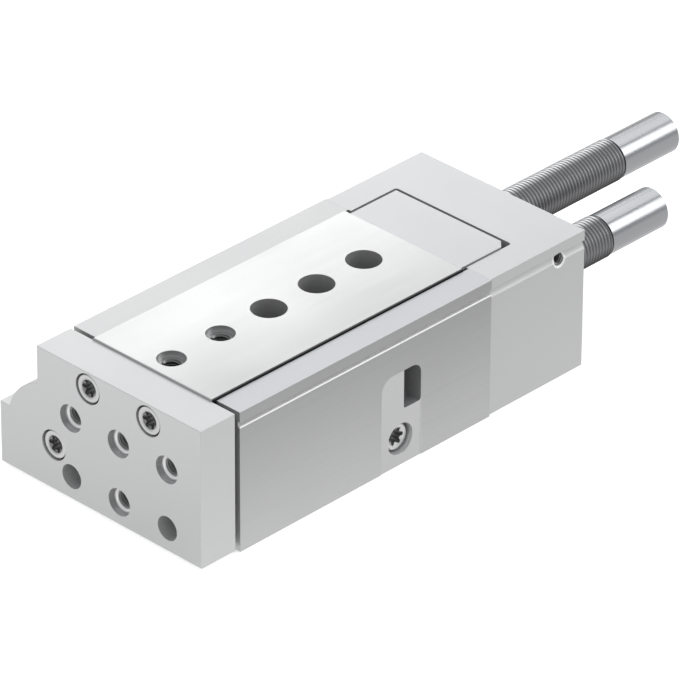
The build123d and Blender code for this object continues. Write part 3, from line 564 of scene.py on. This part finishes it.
def yoke_seats(tree, tones):
    """Tones of the counterbores round the yoke plate's threads: a pale floor as painted highlight and a
    darker wall as painted shade.
    """
    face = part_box("yoke_plate")[0].y
    spots = yoke_thread_places()
    floor = max(spot.y for spot in spots)
    lip_end, wall_start, reach = millimetres(3.7), millimetres(4.1), millimetres(4.8)
    nearest = 1.0
    for spot in spots:
        nearest = calculate(tree, "MINIMUM", distance_from(tree, spot, (1, 0, 1)), nearest)
    outer = ramp(tree, nearest, lip_end, wall_start)
    depth = axis_of(tree, "Object", "Y")
    inside = all_of(
        tree, calculate(tree, "LESS_THAN", nearest, reach),
        calculate(tree, "GREATER_THAN", depth, face + millimetres(0.25)),
        calculate(tree, "LESS_THAN", depth, floor + millimetres(0.2)),
    )
    # Painted highlight near the thread and painted shade on the counterbore's wall.
    return blend(tree, inside, tones, blend(tree, outer, grey(0.97), grey(0.46)))


def cover_seats(tree, tones):
    """Tones of the rear cover: a painted highlight, a pale rim round the thread in its side, stronger below
    than above.
    """
    spot, dims = measure_mount("side_thread")
    rim = millimetres(dims["r_mm"] + 0.6)
    near = ramp(tree, distance_from(tree, spot, (0, 1, 1)), rim, rim + millimetres(0.15), 1.0, 0.0)
    outside = calculate(tree, "GREATER_THAN", axis_of(tree, "Object", "X"), spot.x)
    height = axis_of(tree, "Object", "Z")
    lit = ramp(tree, height, spot.z + millimetres(1.8), spot.z - millimetres(0.8), 0.1, 0.9)
    return blend(tree, all_of(tree, near, outside, lit), tones, grey(0.88))


def housing_tones(tree, colours, low, high):
    """Ground strips on top and drawn sides, with a slow falloff of painted light along the body and upward.
    """
    along = axis_of(tree, "Object", "Y")
    right = ramp(tree, axis_of(tree, "Object", "X"), 0.0, millimetres(10))
    # Painted light: the left strip lighter than the right, and all strips darker toward the back.
    strips = blend(tree, right, opaque(colours.housing_top_left), opaque(colours.housing_top))
    strips = scaled(tree, strips, ramp(tree, along, low.y, high.y, 1.03, 0.94))
    faces = place_group(tree, FACES, top_color=strips, side_color=opaque(colours.housing_side))
    # Painted light: the sides lighter toward the bottom and darker toward the back.
    gain = calculate(
        tree, "MULTIPLY", ramp(tree, axis_of(tree, "Object", "Z"), low.z, high.z, 1.33, 0.86),
        ramp(tree, along, low.y, high.y, 1.05, 0.92),
    )
    return blend(tree, faces["Top Mask"], scaled(tree, faces["Color"], gain), faces["Color"])


def recess_floor(tree, high):
    """A mask of the floor of the milled recess in the right side."""
    across = axis_of(tree, "Object", "X")
    return all_of(
        tree, calculate(tree, "LESS_THAN", across, high.x - millimetres(0.1)),
        calculate(tree, "GREATER_THAN", across, high.x - millimetres(0.4)),
        calculate(tree, "GREATER_THAN", axis_of(tree, "Normal", "X"), 0.9),
    )


def recess_edges(tree, tone, high):
    """The tone with painted highlights: a bright step at the recess's ends and a bright rim along its top.
    """
    across = axis_of(tree, "Object", "X")
    step = all_of(
        tree, facing(tree, "Y"), calculate(tree, "COMPARE", across, high.x, millimetres(0.25)),
        calculate(tree, "COMPARE", axis_of(tree, "Object", "Y"), 0.0, millimetres(20)),
    )
    rim_height = high.z - millimetres(5.0)
    rim = all_of(
        tree, calculate(tree, "GREATER_THAN", across, high.x - millimetres(0.6)),
        calculate(tree, "COMPARE", axis_of(tree, "Object", "Z"), rim_height, millimetres(0.45)),
    )
    # Painted highlight on the step and along the rim.
    for mask in (step, rim):
        tone = blend(tree, mask, tone, grey(0.95))
    return tone


def clamp_seat(tree, tone):
    """The tone with a pale wall, painted light, in the counterbore of the clamp screw.

    The mask has no limit along X, so it also leaves a pale round patch on the housing's left side.
    """
    low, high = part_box("stop_clamp_screw")
    reach = (high.z - low.z) / 2 + millimetres(1.5)
    wall = all_of(
        tree, calculate(tree, "LESS_THAN", distance_from(tree, (low + high) / 2, (0, 1, 1)), reach),
        calculate(tree, "LESS_THAN", axis_of(tree, "Normal", "X"), 0.9),
    )
    return blend(tree, wall, tone, grey(0.82))


def housing_finish(colours):
    """Drawn sides, ground strips on top and the smooth milled recess, told apart by place."""
    material, tree, shader = new_finish("Drawn Housing", metallic=0.6)
    low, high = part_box("housing")
    recess = recess_floor(tree, high)
    tone = blend(tree, recess, housing_tones(tree, colours, low, high), opaque(colours.milled))
    tone = clamp_seat(tree, recess_edges(tree, tone, high))
    coat(
        tree, shader, tone, bright(colours.housing_top, 0.5), 0.6, LINES, across=1700.0, along=9.0,
        variation=ramp(tree, recess, 0.0, 1.0, 0.16, 0.01), roughness=0.42,
    )
    return material


def slide_finish(colours):
    """Ground top, outer sides in near-black painted shade and paler hole walls, told apart by place."""
    material, tree, shader = new_finish("Ground Slide")
    low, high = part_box("slide_table")
    across = axis_of(tree, "Object", "X")
    away = ramp(tree, calculate(tree, "ABSOLUTE", across), millimetres(9), millimetres(12))
    # Painted shade: the outer side walls take the near-black side colour.
    outside = all_of(tree, away, facing(tree, "X", (0.3, 0.6)))
    side = blend(tree, outside, opaque(colours.slide_hole), opaque(colours.slide_side_shade))
    # Painted light: the top darkens from left to right and toward the back.
    gain = calculate(
        tree, "MULTIPLY", ramp(tree, across, millimetres(-12), millimetres(22), 1.0, 0.80),
        ramp(tree, axis_of(tree, "Object", "Y"), low.y, high.y, 1.04, 0.95),
    )
    top = scaled(tree, colours.slide_top, gain)
    faces = place_group(tree, FACES, top_color=top, side_color=side)
    coat(
        tree, shader, faces["Color"], bright(colours.slide_top, 0.3), 0.05, LINES, millimetres(0.1),
        across=2600.0, along=30.0, variation=0.02, roughness=0.34,
    )
    tree.links.new(ramp(tree, faces["Top Mask"], 0.0, 1.0, 0.5, 1.0), shader.inputs["Metallic"])
    return material


def screw_finish(colours, node, axis, face_first, mouth):
    """Bright steel with painted shade below the head's face, first the mouth's tone and deeper the
    socket's, so the socket reads dark.
    """
    material, tree, shader = new_finish(f"{node} Steel", metallic=1.0)
    low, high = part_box(node)
    index = "XYZ".index(axis)
    face, inward = (low[index], 1) if face_first else (high[index], -1)
    along = axis_of(tree, "Object", axis)
    rim = ramp(tree, along, face + inward * millimetres(0.02), face + inward * millimetres(0.14))
    deep = ramp(tree, along, face + inward * millimetres(0.45), face + inward * millimetres(0.6))
    tone = blend(tree, rim, opaque(colours.screw), grey(mouth))
    tone = blend(tree, deep, tone, opaque(colours.socket))
    coat(
        tree, shader, tone, bright(colours.screw, 0.5), 0.5, GRAIN, depth=millimetres(0.01),
        grain_scale=1800.0, variation=0.06, roughness=0.3,
    )
    return material


def thread_finish(colours):
    """Rolled thread of the absorber tubes, with painted shade in its roots, a painted highlight on top and
    painted shade underneath.
    """
    material, tree, shader = new_finish("Rolled Thread", metallic=1.0, specular_tint=grey(0.45))
    height = add_node(tree, "ShaderNodeAttribute", attribute_name="thread_height").outputs["Fac"]
    # Painted shade in the roots: from root to crest the tone goes from the root colour to the crest colour.
    tone = blend(tree, ramp(tree, height, 0.1, 1.0), opaque(colours.thread_root), opaque(colours.thread))
    # Painted shade: faces that look down are darkened, nearly to black toward the bottom.
    tone = scaled(tree, tone, ramp(tree, axis_of(tree, "Normal", "Z"), -0.7, 0.0, 0.05, 1.0))
    # Painted highlight: faces turned up and to the left take the near-white top colour.
    upper_left = combine(tree, "DOT_PRODUCT", coordinates(tree, "Normal"), (-0.5, 0, 0.87))
    top_highlight = ramp(tree, upper_left, 0.70, 0.92, 0.0, 0.90)
    tone = blend(tree, top_highlight, tone, opaque(colours.thread_top_highlight))
    surface = place_group(tree, GRAIN, color=tone, grain_scale=1500.0, variation=0.05, roughness=0.45)
    tree.links.new(surface["Color"], shader.inputs["Base Color"])
    tree.links.new(surface["Roughness"], shader.inputs["Roughness"])
    return material


def dress(material, *nodes):
    """Gives CAD nodes that material."""
    for node in nodes:
        slots = frame["nodes"][node].data.materials
        slots.clear()
        slots.append(material)


# Meshes


# Shares of a pitch at which the thread's profile has its points
THREAD_SHARES = (0.0, 0.10, 0.20, 0.30, 0.55, 0.65, 0.75, 0.85)
MERGE = 1e-7
SHARP_ANGLE = radians(35)


def round_x(y, z):
    """Points round a line along X, from their place along it, radius and angle."""
    return lambda along, radius, angle: (along, y + radius * cos(angle), z + radius * sin(angle))


def round_y(x, z):
    """Points round a line along Y."""
    return lambda along, radius, angle: (x + radius * cos(angle), along, z + radius * sin(angle))


def round_z(x, y):
    """Points round a line along Z."""
    return lambda along, radius, angle: (x + radius * cos(angle), y + radius * sin(angle), along)


def new_piece(name, shape, body, slot, material, *replaced):
    """A mesh object from the shape that rides on a body and takes a material."""
    mesh = bpy.data.meshes.new(name)
    shape.to_mesh(mesh)
    shape.free()
    mesh.materials.append(material)
    mesh.shade_smooth()
    mesh.set_sharp_from_angle(angle=SHARP_ANGLE)
    piece = bpy.data.objects.new(name, mesh)
    bpy.context.scene.collection.objects.link(piece)
    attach(piece, body)
    if replaced:
        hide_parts(*replaced)
    return piece


def turn_profile(shape, at, profile, sides):
    """Quads that a profile of (along, radius) points sweeps round its axis."""
    rings = [
        [shape.verts.new(at(along, radius, tau * i / sides)) for i in range(sides)]
        for along, radius in profile
    ]
    for near, far in zip(rings, rings[1:]):
        for i in range(sides):
            j = (i + 1) % sides
            shape.faces.new((near[i], near[j], far[j], far[i]))


def join_up(shape):
    """Merges points that meet, so the shape closes, and turns its faces outward."""
    bmesh.ops.remove_doubles(shape, verts=shape.verts, dist=MERGE)
    bmesh.ops.dissolve_degenerate(shape, edges=shape.edges, dist=MERGE)
    bmesh.ops.recalc_face_normals(shape, faces=shape.faces)


def turned_ring(at, profile, sides):
    """A closed ring turned from a profile that ends where it starts."""
    shape = bmesh.new()
    turn_profile(shape, at, profile, sides)
    join_up(shape)
    return shape


def thread_height(share):
    """Height of the thread at that share of a pitch: 1 on the crest and 0 in the root."""
    rise, crest_end, fall = 0.30, 0.55, 0.85
    climb = share / rise if share <= crest_end else (fall - share) / (fall - crest_end)
    climb = min(1.0, max(0.0, climb))
    return climb * climb * (3 - 2 * climb)


def threaded_sleeve(at, start, end, wall, crest, root, mouth, pitch, sides):
    """A tube with a thread on one side and a plain wall on the other, coned to mouth at both ends.

    at(along, radius, angle) gives a point round the tube's axis. The thread is one helical strip:
    vertex n stands at n / sides of a turn, and its last point meets the first of the next turn.
    """
    shape = bmesh.new()
    outward = 1 if root < crest else -1
    turns = int(ceil((end - start) / pitch)) + 1
    rows = []
    for n in range(turns * sides + sides + 1):
        row = []
        for share in THREAD_SHARES:
            along = start + pitch * (n / sides + share - 1)
            along = min(max(along, start), end)
            limit = mouth + outward * min(along - start, end - along)
            radius = root + (crest - root) * thread_height(share)
            radius = outward * min(outward * radius, outward * limit)
            row.append(shape.verts.new(at(along, radius, tau * n / sides)))
        rows.append(row)
    for n in range(turns * sides):
        near, far = rows[n] + [rows[n + sides][0]], rows[n + 1] + [rows[n + 1 + sides][0]]
        for k in range(len(THREAD_SHARES)):
            shape.faces.new((near[k], far[k], far[k + 1], near[k + 1]))
    corners = [(start, mouth), (start, wall), (end, wall), (end, mouth)]
    for pair in zip(corners, corners[1:]):
        turn_profile(shape, at, pair, sides)
    join_up(shape)
    return shape


def tapped_thread(at, start, end, hole, core, pitch, sides):
    """The turns of a thread in a hole, held just inside its wall."""
    skin = millimetres(0.03)
    return threaded_sleeve(
        at, start, end, hole - skin / 3, core, hole - 3 * skin, hole - skin, pitch, sides,
    )


def screw_rim(x, z, face, head):
    """The rounded rim of a screw head, a closed ring round its socket."""
    crown, inner, outer = millimetres(0.15), head * 0.74, head + millimetres(0.22)
    profile = [
        (face + millimetres(0.3), inner),
        (face - crown * 0.3, inner),
        (face - crown, inner + crown),
        (face - crown, outer - millimetres(0.4)),
        (face - crown * 0.7, outer - millimetres(0.2)),
        (face, outer - millimetres(0.06)),
        (face + millimetres(0.2), outer),
        (face + millimetres(1.2), outer),
        (face + millimetres(1.2), inner),
        (face + millimetres(0.3), inner),
    ]
    return turned_ring(round_y(x, z), profile, sides=72)


def thread_lip(spot, outer, inner, hole, rise, depth):
    """A rounded lip round a thread, a closed ring from a little above its mouth into the hole."""
    steps, skin = 10, millimetres(0.05)
    edge = outer - (outer - inner) * 0.2
    profile = [(skin, outer), (-rise * 0.4, outer), (-rise, outer - rise)]
    for step in range(steps + 1):
        turn = pi / 2 * step / steps
        profile.append((depth - (depth + rise) * cos(turn), edge - (edge - inner) * sin(turn)))
    profile += [(depth, hole), (skin, hole), (skin, outer)]
    placed = [(spot.y + along, radius) for along, radius in profile]
    return turned_ring(round_y(spot.x, spot.z), placed, sides=64)


# Operators


class SLIDETABLE_OT_absorber_tubes(Operator):
    """Make the threaded tubes of both shock absorbers"""

    bl_idname = "slidetable.absorber_tubes"
    bl_label = "Absorber Tubes"

    def execute(self, context):
        sizes = context.scene.slide_table_sizes
        steel = thread_finish(context.scene.slide_table_colours)
        for name, body in (("advance", "slide_body"), ("retract", "housing_body")):
            node = f"{name}_absorber_tube"
            low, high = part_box(node)
            place, crest = (low + high) / 2, (high.x - low.x) / 2
            gland_low, gland_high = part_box(f"{name}_absorber_gland")
            bore, root = (gland_high.x - gland_low.x) / 2, crest - sizes.tube_depth
            shape = threaded_sleeve(
                round_y(place.x, place.z), low.y, high.y, bore, crest, root,
                crest - sizes.tube_chamfer, sizes.tube_pitch, sizes.thread_sides,
            )
            piece = new_piece(f"{name}_threaded_tube", shape, body, "thread_steel", steel, node)
            heights = piece.data.attributes.new("thread_height", "FLOAT", "POINT")
            for vert, height in zip(piece.data.vertices, heights.data):
                radius = hypot(vert.co.x - place.x, vert.co.z - place.z)
                height.value = min(1.0, max(0.0, (radius - root) / sizes.tube_depth))
        return {"FINISHED"}


class SLIDETABLE_OT_tapped_holes(Operator):
    """Cut the turns of the threads in the yoke plate, the slide and the rear cover's side"""

    bl_idname = "slidetable.tapped_holes"
    bl_label = "Tapped Holes"

    def execute(self, context):
        sizes = context.scene.slide_table_sizes
        thin = millimetres(0.05)
        # Painted shade: the threads' turns in the holes are set much darker than the yoke, slide and cover
        # round them, darkest in the slide and the rear cover.
        aluminium = blasted(
            "Cut Aluminium Thread", (0.36, 0.36, 0.36), roughness=0.6, width=thin, metallic=0.5,
        )
        steel = blasted("Painted Shade Cut Thread", (0.14, 0.14, 0.14), roughness=0.3, width=thin)
        coarse = (sizes.tapped_core, sizes.tapped_pitch, sizes.thread_sides)
        fine = (sizes.small_core, sizes.small_pitch, sizes.thread_sides)

        yoke_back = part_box("yoke_plate")[1].y
        for pattern in YOKE_THREADS:
            spots, hole = hole_pair(*pattern)
            for spot, label in zip(spots, "ab"):
                shape = tapped_thread(round_y(spot.x, spot.z), spot.y, yoke_back, hole, *coarse)
                new_piece(f"{pattern[0]}_{label}", shape, "slide_body", "yoke_aluminium", aluminium)

        slide_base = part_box("slide_table")[0].z
        spots, hole = hole_pair(*SLIDE_THREADS)
        for spot, label in zip(spots, "ab"):
            shape = tapped_thread(round_z(spot.x, spot.y), slide_base, spot.z, hole, *coarse)
            new_piece(f"slide_thread_{label}", shape, "slide_body", "slide_steel", steel)

        place, dims = measure_mount("side_thread")
        half, proud = millimetres(dims["length_mm"]) / 2, millimetres(0.2)
        shape = tapped_thread(
            round_x(place.y, place.z), place.x - half, place.x + half + proud,
            millimetres(dims["r_mm"]), *fine,
        )
        new_piece("side_thread", shape, "housing_body", "cover_aluminium", steel)
        return {"FINISHED"}


class SLIDETABLE_OT_thread_lips(Operator):
    """Make the rounded lips round the yoke plate's four threads"""

    bl_idname = "slidetable.thread_lips"
    bl_label = "Thread Lips"

    def execute(self, context):
        # Painted highlight: the lips are set paler than the yoke's aluminium round them.
        pale = blasted(
            "Rounded Lip", (0.80, 0.80, 0.80), roughness=0.32, width=millimetres(0.05), metallic=0.8,
        )
        for number, spot in enumerate(yoke_thread_places()):
            shape = thread_lip(
                spot, outer=millimetres(4.1), inner=millimetres(2.7), hole=millimetres(3.0),
                rise=millimetres(0.25), depth=millimetres(0.5),
            )
            new_piece(f"yoke_lip_{number}", shape, "slide_body", "yoke_aluminium", pale)
        return {"FINISHED"}


class SLIDETABLE_OT_screw_rims(Operator):
    """Make the rounded rims of the yoke plate's three screw heads"""

    bl_idname = "slidetable.screw_rims"
    bl_label = "Screw Rims"

    def execute(self, context):
        colours = context.scene.slide_table_colours
        steel = blasted("Screw Rim Steel", colours.screw, roughness=0.3, amount=0.8)
        for node, heads in (("yoke_screws", 2), ("rod_screw", 1)):
            low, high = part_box(node)
            head, height = (high.z - low.z) / 2, (low.z + high.z) / 2
            for number, x in enumerate((low.x + head, high.x - head)[:heads]):
                shape = screw_rim(x, height, low.y, head)
                new_piece(f"{node}_rim_{number}", shape, "slide_body", "screw_steel", steel)
        return {"FINISHED"}


class SLIDETABLE_OT_finish_bodies(Operator):
    """Finish the housing, rear cover, yoke plate, slide and carrier block"""

    bl_idname = "slidetable.finish_bodies"
    bl_label = "Body Finishes"

    def execute(self, context):
        colours = context.scene.slide_table_colours
        dress(housing_finish(colours), "housing")
        # Painted light: the cover's and carrier's tops set lighter than their sides, the tops darker to the
        # right and the sides lighter toward the bottom.
        cover_top, cover_side = (colours.cover_top, 1.10, 0.99), (colours.cover_side, 1.0, 1.0, 1.10, 0.98)
        dress(body_finish("Matt Cover", cover_top, cover_side, cover_side, cover_seats), "rear_cover")
        dress(body_finish("Matt Carrier", cover_top, cover_side, cover_side), "carrier_block")
        # Painted light: the yoke's top darker to the right, its sides darker toward the top, its front
        # lighter toward the top.
        yoke = body_finish(
            "Blasted Yoke", (colours.yoke, 1.05, 0.98), (colours.yoke, 1.0, 1.0, 1.02, 0.92),
            (colours.yoke, 1.02, 0.99, 0.98, 1.12), yoke_seats,
        )
        dress(yoke, "yoke_plate")
        dress(slide_finish(colours), "slide_table")
        return {"FINISHED"}


class SLIDETABLE_OT_finish_guide(Operator):
    """Finish the rails, cages, balls, dowels and other guide pieces"""

    bl_idname = "slidetable.finish_guide"
    bl_label = "Guide Finishes"

    def execute(self, context):
        dress(lined("Ground Rail", (0.50, 0.50, 0.51), roughness=0.25), "left_rail", "right_rail",
              "strike_pad", "yoke_dowels")
        dress(blasted("Cage Brass", (0.62, 0.46, 0.22), roughness=0.35), "left_cage", "right_cage")
        balls = blasted(
            "Ball Steel", (0.72, 0.72, 0.74), roughness=0.08, variation=0.02, width=millimetres(0.01),
        )
        dress(balls, "left_balls", "right_balls")
        dress(blasted("Stop Steel", (0.40, 0.40, 0.41), roughness=0.35), "stop_block")
        return {"FINISHED"}


class SLIDETABLE_OT_finish_cylinder(Operator):
    """Finish the cylinder's rod, piston, guide and seals"""

    bl_idname = "slidetable.finish_cylinder"
    bl_label = "Cylinder Finishes"

    def execute(self, context):
        chrome = bright(context.scene.slide_table_colours.chrome, 0.4)
        dress(lined("Hard Chrome", chrome, roughness=0.15, variation=0.03),
              "piston_rod", "advance_plunger", "retract_plunger")
        dress(blasted("Turned Aluminium", (0.52, 0.53, 0.54), roughness=0.35), "piston", "rod_guide")
        dress(blasted("Bearing Bronze", (0.50, 0.34, 0.16), roughness=0.4), "rod_bush",
              "advance_absorber_gland", "retract_absorber_gland")
        dress(blasted("Seal Rubber", (0.03, 0.03, 0.03), roughness=0.6, metallic=0.0, amount=0.1),
              "piston_seals", "rod_seal", "rod_wiper", "guide_o_ring", "cover_o_ring")
        dress(blasted("Magnet Compound", (0.06, 0.06, 0.06), roughness=0.5, metallic=0.0, amount=0.1),
              "piston_magnet")
        dress(blasted("Wear Ring Plastic", (0.50, 0.45, 0.36), roughness=0.5, metallic=0.0, amount=0.1),
              "piston_wear_ring")
        return {"FINISHED"}


class SLIDETABLE_OT_finish_fasteners(Operator):
    """Finish the screws, nut, retaining ring and absorber sleeves"""

    bl_idname = "slidetable.finish_fasteners"
    bl_label = "Fastener Finishes"

    def execute(self, context):
        colours = context.scene.slide_table_colours
        # Painted shade: the tone of each socket's mouth, just below the head's face.
        for node, axis, face_first, mouth in (
            ("yoke_screws", "Y", True, 0.20), ("rod_screw", "Y", True, 0.20),
            ("stop_clamp_screw", "X", False, 0.60), ("cover_screws", "Y", False, 0.40),
            ("carrier_screws", "Y", True, 0.40),
        ):
            dress(screw_finish(colours, node, axis, face_first, mouth), node)
        dress(blasted("Nut Steel", colours.screw, roughness=0.3, amount=0.8), "piston_nut")
        dress(blasted("Blackened Steel", (0.06, 0.06, 0.065), roughness=0.4), "retaining_ring",
              "retract_lock_screw")
        dress(lined("Sleeve Chrome", colours.chrome, roughness=0.25, variation=0.03),
              "advance_absorber_sleeve", "retract_absorber_sleeve")
        return {"FINISHED"}


# Studio


def studio_world():
    """A soft sky, a little cool, that dims toward the horizon."""
    world = bpy.data.worlds.new("Soft Studio")
    world.use_nodes = True
    tree = world.node_tree
    tree.nodes.clear()
    level = ramp(tree, axis_of(tree, "Generated", "Z"), 0.0, 0.8, 0.60, 0.75)
    sky = add_node(tree, "ShaderNodeBackground", [("Color", (0.97, 0.985, 1.0, 1)), ("Strength", level)])
    add_node(tree, "ShaderNodeOutputWorld", [("Surface", sky.outputs[0])])
    return world


def floor_finish():
    """Pale floor that reads white, also in metal, and keeps the soft shadow for the camera."""
    material = bpy.data.materials.new("Studio Floor")
    material.use_nodes = True
    tree = material.node_tree
    tree.nodes.clear()
    lit = add_node(tree, "ShaderNodeBsdfDiffuse", [("Color", grey(0.9))]).outputs[0]
    white = add_node(tree, "ShaderNodeEmission", [("Color", grey(1)), ("Strength", 1.0)]).outputs[0]
    seen = add_node(tree, "ShaderNodeBsdfDiffuse", [("Color", grey(1))]).outputs[0]
    lift = add_node(tree, "ShaderNodeEmission", [("Color", grey(1)), ("Strength", 0.45)]).outputs[0]
    shadowed = add_node(tree, "ShaderNodeAddShader", [(0, seen), (1, lift)]).outputs[0]
    path = add_node(tree, "ShaderNodeLightPath").outputs
    mirrored = calculate(tree, "MAXIMUM", path["Is Glossy Ray"], path["Is Transmission Ray"])
    metal = add_node(tree, "ShaderNodeMixShader", [(0, mirrored), (1, lit), (2, white)]).outputs[0]
    mix = add_node(tree, "ShaderNodeMixShader", [
        (0, path["Is Camera Ray"]), (1, metal), (2, shadowed),
    ]).outputs[0]
    add_node(tree, "ShaderNodeOutputMaterial", [("Surface", mix)])
    return material


def add_lamp(name, place, target, width, depth, watts, colour=(1, 1, 1)):
    """A soft rectangular lamp that looks at its target."""
    lamp = bpy.data.lights.new(name, "AREA")
    lamp.shape, lamp.size, lamp.size_y, lamp.energy, lamp.color = "RECTANGLE", width, depth, watts, colour
    holder = bpy.data.objects.new(name, lamp)
    holder.location = place
    holder.rotation_euler = (Vector(target) - Vector(place)).to_track_quat("-Z", "Y").to_euler()
    bpy.context.scene.collection.objects.link(holder)


def add_floor():
    """The pale floor that the part stands on."""
    mesh = bpy.data.meshes.new("studio_floor")
    shape = bmesh.new()
    bmesh.ops.create_grid(shape, x_segments=2, y_segments=2, size=12.0)
    bmesh.ops.translate(shape, verts=shape.verts, vec=(0, 0, CAD_BOX[0].z))
    shape.to_mesh(mesh)
    shape.free()
    mesh.materials.append(floor_finish())
    floor = bpy.data.objects.new("studio_floor", mesh)
    bpy.context.scene.collection.objects.link(floor)


def add_camera():
    """The camera at the place and with the lens that the part's straight edges in the photo give."""
    azimuth, elevation, roll = radians(44.2469), radians(31.0281), radians(0.2414)
    eye = bpy.data.cameras.new("photo_camera")
    eye.sensor_width, eye.lens = 36.0, 357.74
    eye.clip_start, eye.clip_end = 0.1, 50.0
    camera = bpy.data.objects.new("photo_camera", eye)
    turn = Matrix.Rotation(azimuth, 4, "Z") @ Matrix.Rotation(pi / 2 - elevation, 4, "X")
    turn = turn @ Matrix.Rotation(roll, 4, "Z")
    camera.matrix_world = Matrix.Translation((1.204846, -1.226933, 1.063307)) @ turn
    bpy.context.scene.collection.objects.link(camera)
    bpy.context.scene.camera = camera


class SLIDETABLE_OT_stage(Operator):
    """Lay the pale floor, hang the soft lamps and set the camera"""

    bl_idname = "slidetable.stage"
    bl_label = "Stage"

    def execute(self, context):
        context.scene.view_settings.view_transform = "Standard"
        context.scene.world = studio_world()
        add_floor()
        below_key, middle = (-0.73, 0.42, 0.0), (0, 0.10, 0.03)
        warm = (1, 0.995, 0.985)
        add_lamp(
            "key_softbox", (-0.73, 0.42, 0.42), below_key, width=0.6, depth=0.9, watts=2.1, colour=warm,
        )
        add_lamp("rear_right_softbox", (0.66, 0.78, 0.62), middle, width=0.6, depth=0.6, watts=3.4)
        add_lamp("rear_softbox", (-0.28, 0.75, 0.75), middle, width=0.9, depth=0.45, watts=1.6)
        add_camera()
        return {"FINISHED"}


class SLIDETABLE_PT_panel(Panel):
    """Buttons and values of the slide table"""

    bl_idname = "SLIDETABLE_PT_panel"
    bl_label = "Slide Table"
    bl_space_type = "VIEW_3D"
    bl_region_type = "UI"
    bl_category = "Slide Table"

    def draw(self, context):
        layout = self.layout
        for group in (context.scene.slide_table_sizes, context.scene.slide_table_colours):
            box = layout.box()
            for key in group.__annotations__:
                box.prop(group, key)
        for step in STEPS:
            layout.operator(step.bl_idname)


STEPS = (
    SLIDETABLE_OT_stage,
    SLIDETABLE_OT_finish_bodies,
    SLIDETABLE_OT_finish_guide,
    SLIDETABLE_OT_finish_cylinder,
    SLIDETABLE_OT_finish_fasteners,
    SLIDETABLE_OT_absorber_tubes,
    SLIDETABLE_OT_tapped_holes,
    SLIDETABLE_OT_thread_lips,
    SLIDETABLE_OT_screw_rims,
)
CLASSES = (SlideTableSizes, SlideTableColours, *STEPS, SLIDETABLE_PT_panel)


def register():
    for cls in CLASSES:
        bpy.utils.register_class(cls)
    bpy.types.Scene.slide_table_sizes = PointerProperty(type=SlideTableSizes)
    bpy.types.Scene.slide_table_colours = PointerProperty(type=SlideTableColours)


def unregister():
    del bpy.types.Scene.slide_table_colours
    del bpy.types.Scene.slide_table_sizes
    for cls in reversed(CLASSES):
        bpy.utils.unregister_class(cls)


def main():
    register()
    bpy.ops.slidetable.stage()
    bpy.ops.slidetable.finish_bodies()
    bpy.ops.slidetable.finish_guide()
    bpy.ops.slidetable.finish_cylinder()
    bpy.ops.slidetable.finish_fasteners()
    bpy.ops.slidetable.absorber_tubes()
    bpy.ops.slidetable.tapped_holes()
    bpy.ops.slidetable.thread_lips()
    bpy.ops.slidetable.screw_rims()


if __name__ == "__main__":
    main()
